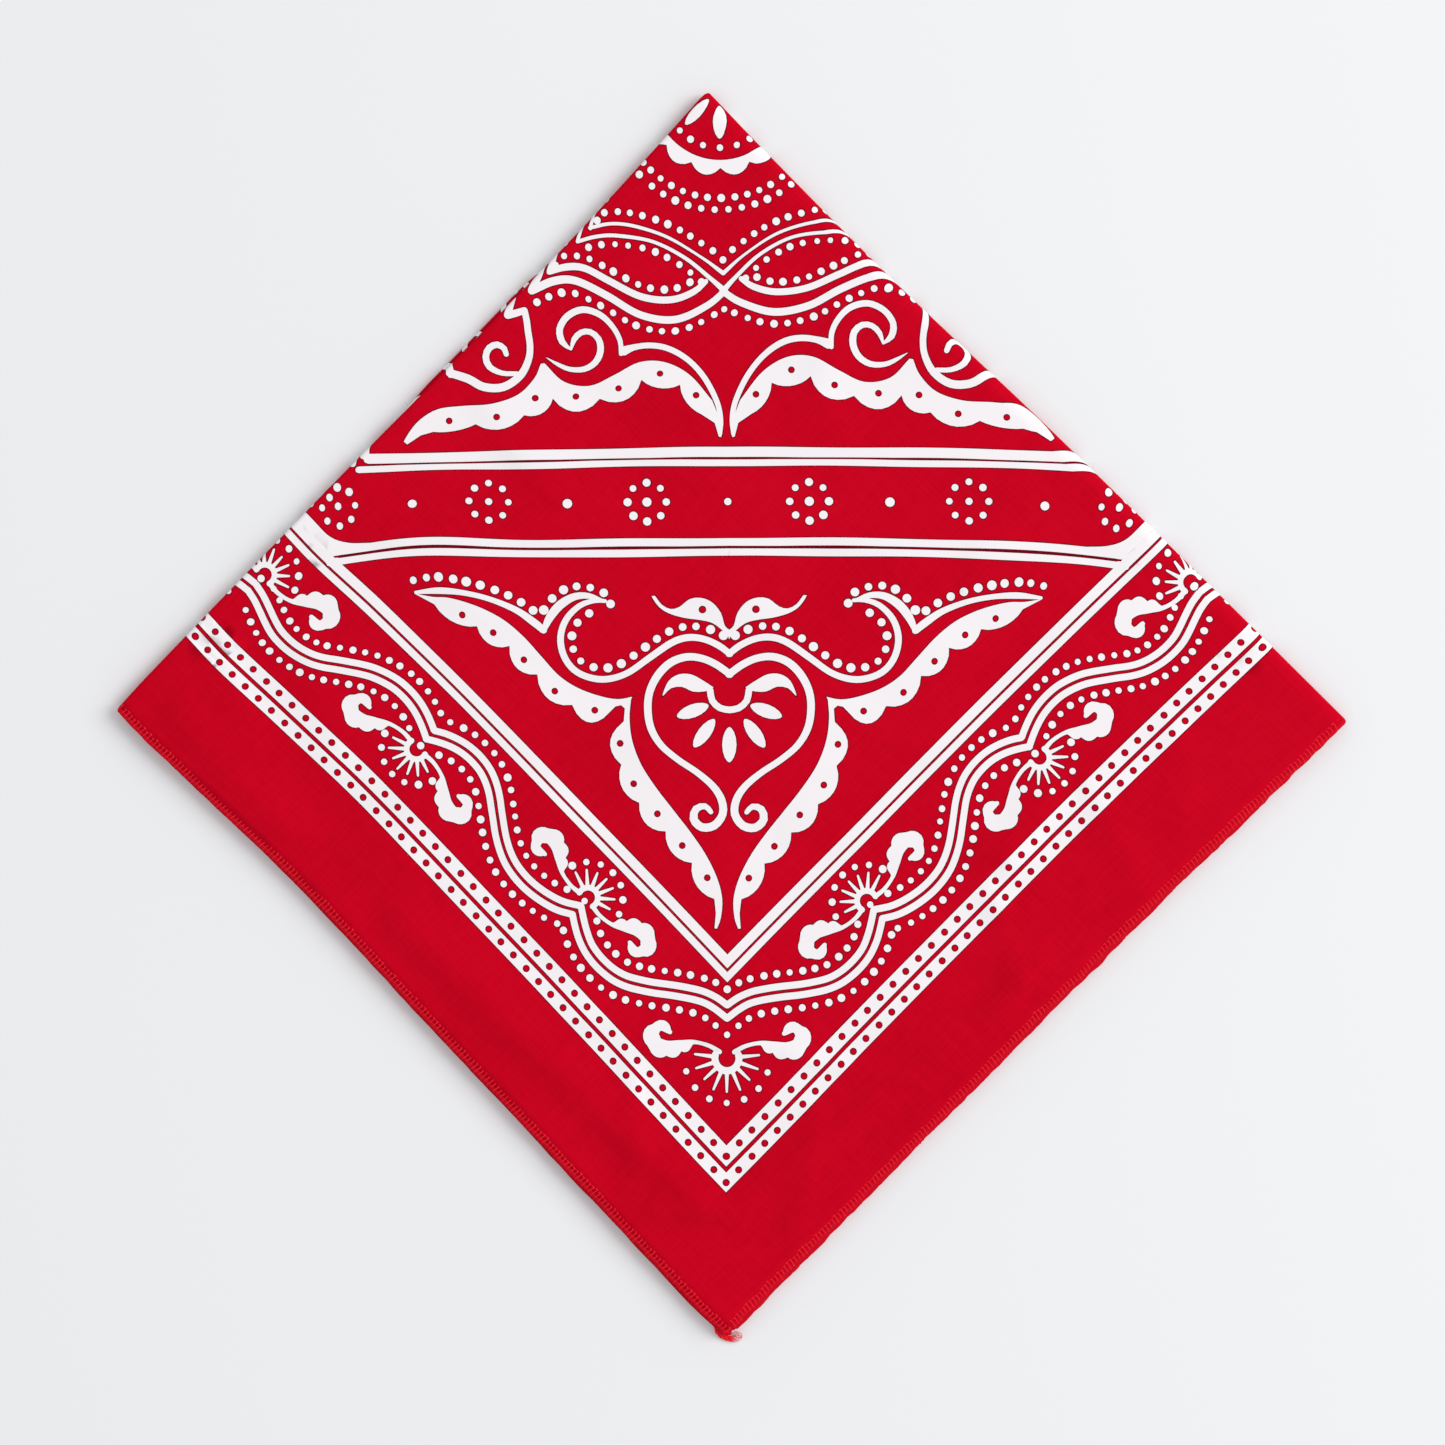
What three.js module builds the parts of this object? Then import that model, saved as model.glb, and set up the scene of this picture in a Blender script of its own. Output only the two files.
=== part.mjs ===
// A printed cotton bandana: one square of cloth with a rolled, overlocked hem on its four sides, folded in half twice
// and laid flat as a diamond. Millimetres, +Z up. The cloth rests on z = 0, and the middle of its outline is the origin.
//
// Every piece is first worked out on a straight, square bed. On that bed x is the distance from the first fold, y the
// distance from the second fold and z the height. lay() then moves each point to where the cloth really lies: the four
// corners are not quite square, the edges bow, the lower layers have slipped, and the top layer has creases.
import * as THREE from 'three';
import { mergeVertices } from 'three/addons/utils/BufferGeometryUtils.js';

// The cloth
const CLOTH_SIDE = 550;
const FOLDED_SIDE = CLOTH_SIDE / 2;
const WALL = 1.0;
const GAP = 0.3;
const HEM_WIDTH = 2.2;

// Heights of the stack, from the table up: two layers of the lower half, then two of the upper half
const LAYER_STEP = WALL + GAP;
const STACK = 4 * WALL + 3 * GAP;
const MIDDLE = STACK / 2;
const TOP_UNDERSIDE = STACK - WALL;
const HIDDEN_TOP = TOP_UNDERSIDE - GAP;

// The folds. Round the first fold one layer turns back on itself. Round the second fold both layers turn together, in a
// softer bend that reaches out further than it is high.
const FIRST_TURN = LAYER_STEP / 2;
const FIRST_AXIS = FIRST_TURN + WALL / 2;
const SECOND_TURN = LAYER_STEP;
const SECOND_REACH = 2;
const SECOND_AXIS = SECOND_REACH * MIDDLE;
const QUARTER_TURN = Math.PI / 2;
const TUCK = 3;

// Where the corners lie on the table
const CORNERS = {
  crown: new THREE.Vector2(-7.8, 196.9),
  firstFoldEnd: new THREE.Vector2(-193.7, 2.0),
  secondFoldEnd: new THREE.Vector2(193.9, -1.8),
  openCorner: new THREE.Vector2(-1.9, -195.1),
};

// How far each edge bows out of the straight line between its corners, from its first corner to its second
const BOWS = {
  firstFold: [
    { at: 0.1, out: -0.8 },
    { at: 0.22, out: -1.4 },
    { at: 0.45, out: -1.1 },
    { at: 0.65, out: -0.2 },
    { at: 0.95, out: 0.3 },
  ],
  secondFold: [
    { at: 0.1, out: -0.8 },
    { at: 0.3, out: -1.4 },
    { at: 0.52, out: -0.2 },
    { at: 0.75, out: 0.2 },
  ],
  leftHem: [
    { at: 0.05, out: 0.3 },
    { at: 0.14, out: -1.0 },
    { at: 0.28, out: -2.6 },
    { at: 0.5, out: -1.5 },
    { at: 0.7, out: -0.6 },
    { at: 0.95, out: 0.5 },
  ],
  rightHem: [
    { at: 0.25, out: -0.6 },
    { at: 0.5, out: -1.3 },
    { at: 0.7, out: -1.7 },
    { at: 0.9, out: -0.7 },
  ],
};

// How far each layer's open edges have slipped out past the top layer's, by the height of the middle of the layer
const SLIPS = [
  { height: 0.5, leftHem: 0.4, rightHem: 1.3 },
  { height: 1.8, leftHem: 0.9, rightHem: 0.5 },
  { height: 3.1, leftHem: -0.3, rightHem: 0.9 },
  { height: 4.4, leftHem: 0, rightHem: 0 },
];
const SLIP_EASES_OVER = 60;

// The lower of the two stacked folds shows past the upper one along this stretch of the first fold
const PEEK = { from: 70, to: 150, out: 1.2 };

// The main creases of the top layer: straight soft ridges from one point of the bed to another
const CREASES = [
  { name: 'along the left hem', fromX: 112, fromY: 260, toX: 238, toY: 252, height: 0.7, halfWidth: 6 },
  { name: 'by the first fold end', fromX: 16, fromY: 262, toX: 62, toY: 266, height: 0.6, halfWidth: 7 },
  { name: 'across the open corner', fromX: 232, fromY: 264, toX: 250, toY: 246, height: 0.6, halfWidth: 4 },
  { name: 'along the right hem', fromX: 250, fromY: 240, toX: 256, toY: 192, height: 0.6, halfWidth: 4 },
  { name: 'towards the right hem', fromX: 256, fromY: 188, toX: 266, toY: 140, height: 0.5, halfWidth: 4 },
  { name: 'star in the right margin', fromX: 262, fromY: 140, toX: 262, toY: 122, height: 0.5, halfWidth: 4 },
  { name: 'across the right bars', fromX: 231, fromY: 106, toX: 228, toY: 84, height: 0.6, halfWidth: 6 },
];

// Where the grid of the top layer has its lines: wide apart in the middle, close in the margins that are creased
const WIDE_STEP = 14;
const CLOSE_STEP = 4.4;
const CLOSE_FROM = 215;
const TURN_STEPS = 6;
const HIDDEN_STEPS = 24;
const HEM_STEPS = 28;

const smooth = (share) => THREE.MathUtils.smoothstep(share, 0, 1);

// Reads a table of rows at a place between them, on a curve that runs smoothly through the rows.
function readTable(rows, key, place, column) {
  const found = rows.findIndex((row) => row[key] >= place);
  const i = found === -1 ? rows.length - 1 : Math.max(found, 1);
  const [before, from, to, after] = [rows[Math.max(i - 2, 0)], rows[i - 1], rows[i], rows[i + 1] ?? rows[i]];
  const slope = (low, high) => (high[column] - low[column]) / (high[key] - low[key]);
  const span = to[key] - from[key];
  const u = THREE.MathUtils.clamp((place - from[key]) / span, 0, 1);
  return from[column] * (1 + 2 * u) * (1 - u) ** 2 + slope(before, to) * span * u * (1 - u) ** 2
    + to[column] * (3 - 2 * u) * u ** 2 - slope(from, after) * span * (1 - u) * u ** 2;
}

// The bow of an edge, which is nothing at its two corners
function bow(edge, share) {
  const rows = [{ at: 0, out: 0 }, ...BOWS[edge], { at: 1, out: 0 }];
  return readTable(rows, 'at', THREE.MathUtils.clamp(share, 0, 1), 'out');
}

// The direction that points out of the cloth, square to the edge from one corner to another
function outward(from, to, inside) {
  const along = to.clone().sub(from).normalize();
  const normal = new THREE.Vector2(along.y, -along.x);
  return normal.dot(inside.clone().sub(from)) > 0 ? normal.negate() : normal;
}

const { crown, firstFoldEnd, secondFoldEnd, openCorner } = CORNERS;
const OUTWARD = {
  firstFold: outward(crown, firstFoldEnd, secondFoldEnd),
  secondFold: outward(crown, secondFoldEnd, firstFoldEnd),
  leftHem: outward(firstFoldEnd, openCorner, crown),
  rightHem: outward(openCorner, secondFoldEnd, crown),
};

// The height that the creases add to the top layer at a point of the bed
function creaseHeight(x, y) {
  const here = new THREE.Vector3(x, y, 0);
  const nearest = new THREE.Vector3();
  let height = 0;
  for (const crease of CREASES) {
    const line = new THREE.Line3(
      new THREE.Vector3(crease.fromX, crease.fromY, 0), new THREE.Vector3(crease.toX, crease.toY, 0));
    line.closestPointToPoint(here, true, nearest);
    height = Math.max(height, crease.height * Math.exp(-((nearest.distanceTo(here) / crease.halfWidth) ** 2)));
  }
  return height;
}

// Moves a point of the straight bed to where the cloth lies.
function lay(bedX, bedY, z) {
  const leftEase = smooth(bedX / SLIP_EASES_OVER) * (bedY / FOLDED_SIDE) ** 2;
  const rightEase = smooth(bedY / SLIP_EASES_OVER) * (bedX / FOLDED_SIDE) ** 2;
  const lower = 1 - THREE.MathUtils.smoothstep(z, MIDDLE - GAP / 2, MIDDLE + GAP / 2);
  const peekShare = (bedY - PEEK.from) / (PEEK.to - PEEK.from);
  const peek = PEEK.out * smooth(4 * peekShare) * smooth(4 - 4 * peekShare) * lower;
  const firstFoldShare = Math.max(0, 1 - bedX / SLIP_EASES_OVER);
  const x = bedX + rightEase * readTable(SLIPS, 'height', z, 'rightHem') - peek * firstFoldShare;
  const y = bedY + leftEase * readTable(SLIPS, 'height', z, 'leftHem');
  const a = x / FOLDED_SIDE;
  const b = y / FOLDED_SIDE;
  const plan = new THREE.Vector2()
    .addScaledVector(crown, (1 - a) * (1 - b))
    .addScaledVector(secondFoldEnd, a * (1 - b))
    .addScaledVector(firstFoldEnd, (1 - a) * b)
    .addScaledVector(openCorner, a * b)
    .addScaledVector(OUTWARD.firstFold, bow('firstFold', b) * (1 - a))
    .addScaledVector(OUTWARD.secondFold, bow('secondFold', a) * (1 - b))
    .addScaledVector(OUTWARD.leftHem, bow('leftHem', a) * b)
    .addScaledVector(OUTWARD.rightHem, bow('rightHem', 1 - b) * a);
  const onTop = THREE.MathUtils.smoothstep(z, HIDDEN_TOP, TOP_UNDERSIDE);
  return new THREE.Vector3(plan.x, plan.y, z + onTop * creaseHeight(bedX, bedY));
}

// The place of a point of the cloth on the bed. across runs from the first fold and along from the second: both are
// 0 at the nose of their fold, positive on the upper side of it and negative on the lower. off is the distance from the
// middle of the wall, towards the outside of the folds.
function folded(across, along, off) {
  const radius = FIRST_TURN + off;
  let x = FIRST_AXIS + Math.abs(across) - QUARTER_TURN;
  let rise = Math.sign(across) * radius;
  if (Math.abs(across) < QUARTER_TURN) {
    x = FIRST_AXIS - radius * Math.cos(across);
    rise = radius * Math.sin(across);
  }
  const bend = SECOND_TURN + rise;
  let y = SECOND_AXIS + Math.abs(along) - QUARTER_TURN;
  let z = MIDDLE + Math.sign(along) * bend;
  if (Math.abs(along) < QUARTER_TURN) {
    y = SECOND_AXIS - SECOND_REACH * bend * Math.cos(along);
    z = MIDDLE + bend * Math.sin(along);
  }
  return lay(x, y, z);
}
const acrossAt = (bedX) => bedX - FIRST_AXIS + QUARTER_TURN;
const alongAt = (bedY) => bedY - SECOND_AXIS + QUARTER_TURN;

// The steps of a half turn round a fold, from its lower end to its upper one
const turnSteps = (steps) => Array.from({ length: steps + 1 }, (_, i) => (2 * i / steps - 1) * QUARTER_TURN);

// Evenly spread values from one number to another, both included
const spread = (from, to, steps) => Array.from({ length: steps + 1 }, (_, i) => from + (to - from) * i / steps);

// Makes a named mesh of points and triangles: shared points are merged, triangles that closed up are dropped, and the
// faces point out.
function closedMesh(name, points, triangles, material) {
  const loose = new THREE.BufferGeometry().setFromPoints(points);
  loose.setIndex(triangles.flat());
  const merged = mergeVertices(loose, 1e-4);
  const index = merged.getIndex().array;
  const corner = (i) => new THREE.Vector3().fromBufferAttribute(merged.getAttribute('position'), i);
  const kept = [];
  let volume = 0;
  for (let i = 0; i < index.length; i += 3) {
    const [a, b, c] = index.slice(i, i + 3);
    if (a !== b && b !== c && c !== a) {
      kept.push([a, b, c]);
      volume += corner(a).dot(corner(b).cross(corner(c)));
    }
  }
  merged.setIndex((volume < 0 ? kept.map(([a, b, c]) => [a, c, b]) : kept).flat());
  merged.computeVertexNormals();
  const mesh = new THREE.Mesh(merged, material);
  mesh.name = name;
  return mesh;
}

// Two triangles for each quad between neighbouring rows of a closed grid
function quads(rows, columns, wrap) {
  const triangles = [];
  for (let row = 0; row + 1 < rows; row += 1) {
    for (let column = 0; column < (wrap ? columns : columns - 1); column += 1) {
      const next = (column + 1) % columns;
      const [a, b] = [row * columns + column, row * columns + next];
      triangles.push([a, b, b + columns], [a, b + columns, a + columns]);
    }
  }
  return triangles;
}

// A ring of points swept along a path, closed by a flat fan at each end
function sweptBead(name, rings, material) {
  const columns = rings[0].length;
  const triangles = quads(rings.length, columns, true);
  const last = (rings.length - 1) * columns;
  for (let i = 1; i + 1 < columns; i += 1) {
    triangles.push([0, i + 1, i], [last, last + i, last + i + 1]);
  }
  return closedMesh(name, rings.flat(), triangles, material);
}

const cottonRed = new THREE.MeshStandardMaterial({ color: 0xc00721, roughness: 0.92, metalness: 0 });
const foldedRed = new THREE.MeshStandardMaterial({ color: 0xa8061d, roughness: 0.94, metalness: 0 });
const hemRed = new THREE.MeshStandardMaterial({ color: 0xcf1026, roughness: 0.85, metalness: 0 });

// The top quarter of the cloth. It curls under at the first fold, wraps round the layers inside it at the second fold and
// tucks in below them, and it stops short of the hem on its two open edges.
function topQuarter() {
  const panelEnd = FOLDED_SIDE - HEM_WIDTH - GAP;
  const wideLines = Math.round(CLOSE_FROM / WIDE_STEP);
  const closeLines = Math.round((panelEnd - CLOSE_FROM) / CLOSE_STEP);
  const panelLines = (from) => [
    ...spread(from, CLOSE_FROM, wideLines).slice(1), ...spread(CLOSE_FROM, panelEnd, closeLines).slice(1)];
  const across = [...turnSteps(TURN_STEPS), ...panelLines(FIRST_AXIS).map(acrossAt)];
  const along = [-QUARTER_TURN - TUCK, ...turnSteps(TURN_STEPS), ...panelLines(SECOND_AXIS).map(alongAt)];
  const rings = along.map((t) => [
    ...across.map((q) => folded(q, t, WALL / 2)), ...across.map((q) => folded(q, t, -WALL / 2)).reverse()]);
  const columns = rings[0].length;
  const triangles = quads(rings.length, columns, true);
  // The two ends are strips from the outer face to the inner one, and not fans, because the wall is bent there.
  const last = (rings.length - 1) * columns;
  for (let i = 0; i + 1 < across.length; i += 1) {
    const facing = columns - 1 - i;
    triangles.push([i + 1, i, facing], [i + 1, facing, facing - 1]);
    triangles.push([last + i, last + i + 1, last + facing], [last + i + 1, last + facing - 1, last + facing]);
  }
  return closedMesh('top_quarter', rings.flat(), triangles, cottonRed);
}

// The three quarters below the top one, as one solid. Its sides show the layers: at the open edges there are three with
// a groove between them, at the first fold the lower fold has a round nose, and at the second fold the inner fold has.
function hiddenLayers() {
  const clear = FIRST_AXIS + GAP;
  const tuckEnd = SECOND_AXIS + TUCK + GAP;
  const hemInset = HEM_WIDTH + GAP;
  const grooveInset = hemInset + 6;
  const noseRadius = FIRST_AXIS;
  const noseDepth = (z, middle) => Math.sqrt(Math.max(0, noseRadius ** 2 - (z - middle) ** 2));
  const lowerNose = (z) => noseRadius - noseDepth(z, WALL + GAP / 2);
  const innerNose = (z) => SECOND_AXIS - SECOND_REACH * noseDepth(z, MIDDLE);
  // From the table up. firstFold and secondFold are the distances in from those folds at that height.
  const levels = [
    ...[0, 0.25, 0.6, 1].map((share) => {
      const z = share * WALL;
      return { z, firstFold: lowerNose(z), secondFold: tuckEnd, hems: hemInset };
    }),
    ...[0, 1].map((share) => {
      const z = WALL + share * GAP;
      return { z, firstFold: lowerNose(z), secondFold: tuckEnd + 3, hems: grooveInset };
    }),
    ...[0, 0.35, 0.75, 1].map((share) => {
      const z = LAYER_STEP + share * WALL;
      return { z, firstFold: lowerNose(z), secondFold: innerNose(z), hems: hemInset };
    }),
    ...[0, 1].map((share) => {
      const z = LAYER_STEP + WALL + share * GAP;
      return { z, firstFold: clear + 3, secondFold: innerNose(z), hems: grooveInset };
    }),
    ...[0, 0.5, 0.85, 1].map((share) => {
      const z = 2 * LAYER_STEP + share * WALL;
      return { z, firstFold: clear, secondFold: innerNose(z), hems: hemInset };
    }),
  ];
  // The outline of one level, which leaves out the spot by the crown where the top quarter curls round both folds
  const outline = ({ firstFold, secondFold, hems }) => {
    const far = FOLDED_SIDE - hems;
    const curlX = Math.max(firstFold, clear);
    const curlY = Math.max(secondFold, tuckEnd);
    const corners = [
      [firstFold, curlY], [firstFold, far], [far, far], [far, secondFold], [curlX, secondFold], [curlX, curlY]];
    return corners.flatMap(([x, y], i) => {
      const [nextX, nextY] = corners[(i + 1) % corners.length];
      const steps = i < 4 ? HIDDEN_STEPS : 1;
      return spread(0, 1, steps).slice(0, -1).map((share) => new THREE.Vector2(
        THREE.MathUtils.lerp(x, nextX, share), THREE.MathUtils.lerp(y, nextY, share)));
    });
  };
  const rings = levels.map((level) => outline(level).map(({ x, y }) => lay(x, y, level.z)));
  const columns = rings[0].length;
  const last = (rings.length - 1) * columns;
  const underMiddle = rings.length * columns;
  const triangles = quads(rings.length, columns, true);
  for (let i = 0; i < columns; i += 1) {
    const next = (i + 1) % columns;
    triangles.push([underMiddle, next, i], [underMiddle + 1, last + i, last + next]);
  }
  const middles = [0, HIDDEN_TOP].map((z) => lay(FOLDED_SIDE / 2, FOLDED_SIDE / 2, z));
  return closedMesh('hidden_layers', [...rings.flat(), ...middles], triangles, foldedRed);
}

// The hem: the edge of the cloth rolled under and overlocked, one run for each side of the square. Each side is folded
// once, so its run goes out along one layer, turns round a fold and comes back along another.
const HEM_SECTION = [
  { out: 0, off: -0.5 },
  { out: 0.64, off: -0.5 },
  { out: 0.95, off: -0.26 },
  { out: 0.95, off: 0.26 },
  { out: 0.64, off: 0.5 },
  { out: 0, off: 0.5 },
];
function hemRun(name, stations, pointAt) {
  const inner = FOLDED_SIDE - HEM_WIDTH;
  const rings = stations.map((station) => HEM_SECTION.map(({ out, off }) => (
    pointAt(station, inner + out * HEM_WIDTH, off * WALL))));
  return sweptBead(name, rings, hemRed);
}

const bandana = new THREE.Group();
bandana.name = 'bandana';
bandana.add(topQuarter(), hiddenLayers());

// The sides that the second fold leaves whole: each turns round the first fold at the left corner.
const leftPass = spread(FIRST_AXIS, FOLDED_SIDE, HEM_STEPS).slice(1).map(acrossAt);
const leftStations = [...leftPass.map((q) => -q).reverse(), ...turnSteps(TURN_STEPS), ...leftPass];
bandana.add(
  hemRun('hem_left_upper', leftStations, (q, reach, off) => folded(q, alongAt(reach), off)),
  hemRun('hem_left_lower', leftStations, (q, reach, off) => folded(q, -alongAt(reach), off)),
);

// The sides that the first fold leaves whole: each turns round the second fold at the right corner, one inside the other.
const rightPass = spread(SECOND_AXIS, FOLDED_SIDE - HEM_WIDTH - GAP, HEM_STEPS).slice(1).map(alongAt);
const rightStations = [...rightPass.map((t) => -t).reverse(), ...turnSteps(TURN_STEPS), ...rightPass];
bandana.add(
  hemRun('hem_right_outer', rightStations, (t, reach, off) => folded(acrossAt(reach), t, off)),
  hemRun('hem_right_inner', rightStations, (t, reach, off) => folded(-acrossAt(reach), t, off)),
);

export default bandana;
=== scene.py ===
"""A red printed cotton bandana, folded in half twice and laid flat as a diamond, on a pale table."""
import math
import random

import bpy
import numpy as np
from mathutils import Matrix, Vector
from mathutils.geometry import delaunay_2d_cdt


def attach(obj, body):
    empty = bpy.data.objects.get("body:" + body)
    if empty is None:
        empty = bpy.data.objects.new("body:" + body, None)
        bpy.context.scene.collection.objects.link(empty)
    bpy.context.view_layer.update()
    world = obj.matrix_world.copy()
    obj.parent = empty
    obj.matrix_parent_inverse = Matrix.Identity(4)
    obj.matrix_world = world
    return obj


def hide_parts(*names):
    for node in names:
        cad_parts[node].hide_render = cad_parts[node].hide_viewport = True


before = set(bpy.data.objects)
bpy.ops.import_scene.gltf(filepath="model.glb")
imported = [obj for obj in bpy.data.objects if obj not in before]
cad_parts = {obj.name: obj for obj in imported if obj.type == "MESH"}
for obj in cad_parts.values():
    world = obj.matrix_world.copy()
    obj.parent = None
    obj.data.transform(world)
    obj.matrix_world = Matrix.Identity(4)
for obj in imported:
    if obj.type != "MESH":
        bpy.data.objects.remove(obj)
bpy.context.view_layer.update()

# The top quarter: the side of the folded cloth that shows, of thin red cotton with a white print. It
# curls under at the first fold and wraps round the other layers at the second, where it is tucked in.
# Only its weight holds it there.

# How the cloth lies. One square of cotton is folded in half twice, so four layers lie on each other.
# Places are on a straight bed: x is the distance from the first fold, y from the second and z the height,
# all in millimetres. lay() then moves each to where the hand left it: corners not quite square, edges
# bowed, layers slipped.
MM = 0.001
CLOTH_SIDE = 550
FOLDED_SIDE = CLOTH_SIDE / 2
# Each layer is a wall in the solids, for its loft. The cotton made here is a thin sheet on its outside.
WALL = 1.0
GAP = 0.3
CLOTH = 0.36
HEM_WIDTH = 2.2
LAYER_STEP = WALL + GAP
STACK = 4 * WALL + 3 * GAP
MIDDLE = STACK / 2
TOP_UNDERSIDE = STACK - WALL
HIDDEN_TOP = TOP_UNDERSIDE - GAP
# The first fold turns in a half circle, the second in a half oval that reaches out as far as it is high.
FIRST_TURN = LAYER_STEP / 2
FIRST_AXIS = FIRST_TURN + WALL / 2
SECOND_TURN = LAYER_STEP
SECOND_REACH = 2
SECOND_AXIS = SECOND_REACH * MIDDLE
QUARTER_TURN = math.pi / 2
TUCK = 3
CORNERS = {
    "crown": (-7.8, 196.9), "first fold end": (-193.7, 2.0),
    "second fold end": (193.9, -1.8), "open corner": (-1.9, -195.1),
}
# How far each edge bows out, as rows of its share of the length and the distance.
BOWS = {
    "first fold": [(0, 0), (0.1, -0.8), (0.22, -1.4), (0.45, -1.1), (0.65, -0.2), (0.95, 0.3), (1, 0)],
    "second fold": [(0, 0), (0.1, -0.8), (0.3, -1.4), (0.52, -0.2), (0.75, 0.2), (1, 0)],
    "left hem": [(0, 0), (0.05, 0.3), (0.14, -1.0), (0.28, -2.6), (0.5, -1.5), (0.7, -0.6), (0.95, 0.5),
                 (1, 0)],
    "right hem": [(0, 0), (0.25, -0.6), (0.5, -1.3), (0.7, -1.7), (0.9, -0.7), (1, 0)],
}
# How far the layers have slipped out at each hem, by height, and where the lower ones show at the fold.
LEFT_SLIPS = [(0.5, 0.4), (1.8, 0.9), (3.1, -0.3), (4.4, 0)]
RIGHT_SLIPS = [(0.5, 1.3), (1.8, 0.5), (3.1, 0.9), (4.4, 0)]
SLIP_EASES_OVER = 60
PEEK_FROM, PEEK_TO, PEEK_OUT = 70, 150, 1.2

# The creases of the top layer, as soft ridges: from x, y and to x, y on the bed, rise and half width.
CREASES = [
    (112, 260, 238, 252, 0.7, 6), (16, 262, 62, 266, 0.6, 7), (232, 264, 250, 246, 0.6, 4),
    (250, 240, 256, 192, 0.6, 4), (256, 188, 266, 140, 0.5, 4), (262, 140, 262, 122, 0.5, 4),
    (231, 106, 228, 84, 0.6, 6),
    (268, 236, 246, 205, 0.3, 3), (262, 131, 240, 118, 0.35, 3.5), (262, 131, 272, 112, 0.3, 3),
    (268, 82, 236, 72, 0.3, 4), (266, 60, 240, 40, 0.28, 5), (222, 262, 196, 238, 0.3, 4),
    (150, 268, 172, 236, 0.25, 5), (84, 268, 98, 244, 0.3, 5), (40, 250, 8, 238, 0.3, 5),
    (60, 236, 24, 214, 0.22, 6), (205, 214, 262, 176, 0.3, 3), (182, 150, 214, 118, 0.2, 6),
    (120, 196, 84, 226, 0.2, 7), (10, 120, 46, 128, 0.25, 6), (14, 176, 52, 168, 0.25, 7),
    (70, 12, 88, 44, 0.25, 6), (150, 10, 160, 48, 0.25, 7), (206, 14, 196, 46, 0.25, 6),
]
# Similar ones on the underside, which is only raised, so it still rests flat.
UNDER_CREASES = [
    (18, 248, 96, 258, 0.7, 6), (96, 258, 148, 250, 0.5, 5), (244, 34, 256, 92, 0.6, 5),
    (256, 92, 250, 136, 0.5, 4), (250, 136, 258, 188, 0.6, 5), (222, 226, 258, 196, 0.4, 4),
    (60, 20, 92, 66, 0.4, 7), (18, 110, 70, 132, 0.35, 7), (176, 240, 206, 262, 0.4, 5),
    (150, 24, 168, 74, 0.35, 7), (112, 168, 160, 196, 0.3, 8), (30, 190, 58, 232, 0.4, 6),
]
CREASE_RISE, UNDER_CREASE_RISE = 2.1, 1.6
GENTLE_SIDE, STEEP_SIDE = 1.35, 0.8
FIRST_CLEAR, FIRST_EASES_OVER = 2, 14
SECOND_CLEAR, SECOND_EASES_OVER = 5, 16
HEM_EASES_OVER = 5
SLACK, SLACK_EASES_OVER = 0.18, 9
# Shallow swells between the creases: rise, length, direction and start.
SWELLS = [(0.16, 61, 0.4, 0.3), (0.13, 43, 2.0, 1.1), (0.10, 29, 4.2, 2.3), (0.06, 17, 1.2, 4.0)]


def smooth(share):
    share = np.clip(share, 0, 1)
    return share * share * (3 - 2 * share)


def read_table(rows, place):
    """Reads a table of (place, value) rows between its rows, on a curve that runs smoothly through them."""
    at, value = np.array(rows, float).T
    place = np.clip(np.asarray(place, float), at[0], at[-1])
    i = np.clip(np.searchsorted(at, place), 1, len(at) - 1)
    before, after = np.maximum(i - 2, 0), np.minimum(i + 1, len(at) - 1)
    span = at[i] - at[i - 1]
    u = (place - at[i - 1]) / span
    slope_in = (value[i] - value[before]) / (at[i] - at[before])
    slope_out = (value[after] - value[i - 1]) / (at[after] - at[i - 1])
    return (value[i - 1] * (1 + 2 * u) * (1 - u) ** 2 + slope_in * span * u * (1 - u) ** 2
            + value[i] * (3 - 2 * u) * u ** 2 - slope_out * span * (1 - u) * u ** 2)


def outward(start, end, inside):
    """The direction out of the cloth, square to the edge from one corner to another."""
    start, end, inside = (np.array(CORNERS[name]) for name in (start, end, inside))
    along = (end - start) / np.linalg.norm(end - start)
    normal = np.array([along[1], -along[0]])
    return -normal if normal @ (inside - start) > 0 else normal


OUTWARD = {
    "first fold": outward("crown", "first fold end", "second fold end"),
    "second fold": outward("crown", "second fold end", "first fold end"),
    "left hem": outward("first fold end", "open corner", "crown"),
    "right hem": outward("open corner", "second fold end", "crown"),
}


def off_folds(x, y):
    """0 beside the two folds and 1 well clear of them."""
    return smooth((x - FIRST_CLEAR) / FIRST_EASES_OVER) * smooth((y - SECOND_CLEAR) / SECOND_EASES_OVER)


def off_hems(x, y, clear, eases_over):
    """0 within a distance of the two hems and 1 well inside them."""
    return smooth((FOLDED_SIDE - clear - x) / eases_over) * smooth((FOLDED_SIDE - clear - y) / eases_over)


def crease_height(creases, x, y):
    height = np.zeros_like(x)
    for from_x, from_y, to_x, to_y, rise, half_width in creases:
        dx, dy = to_x - from_x, to_y - from_y
        share = np.clip(((x - from_x) * dx + (y - from_y) * dy) / (dx * dx + dy * dy), 0, 1)
        off_x, off_y = x - from_x - share * dx, y - from_y - share * dy
        side = np.where(off_x * dy - off_y * dx > 0, GENTLE_SIDE, STEEP_SIDE)
        height += rise * np.exp(-(off_x ** 2 + off_y ** 2) / (half_width * side) ** 2)
    return height


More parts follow.
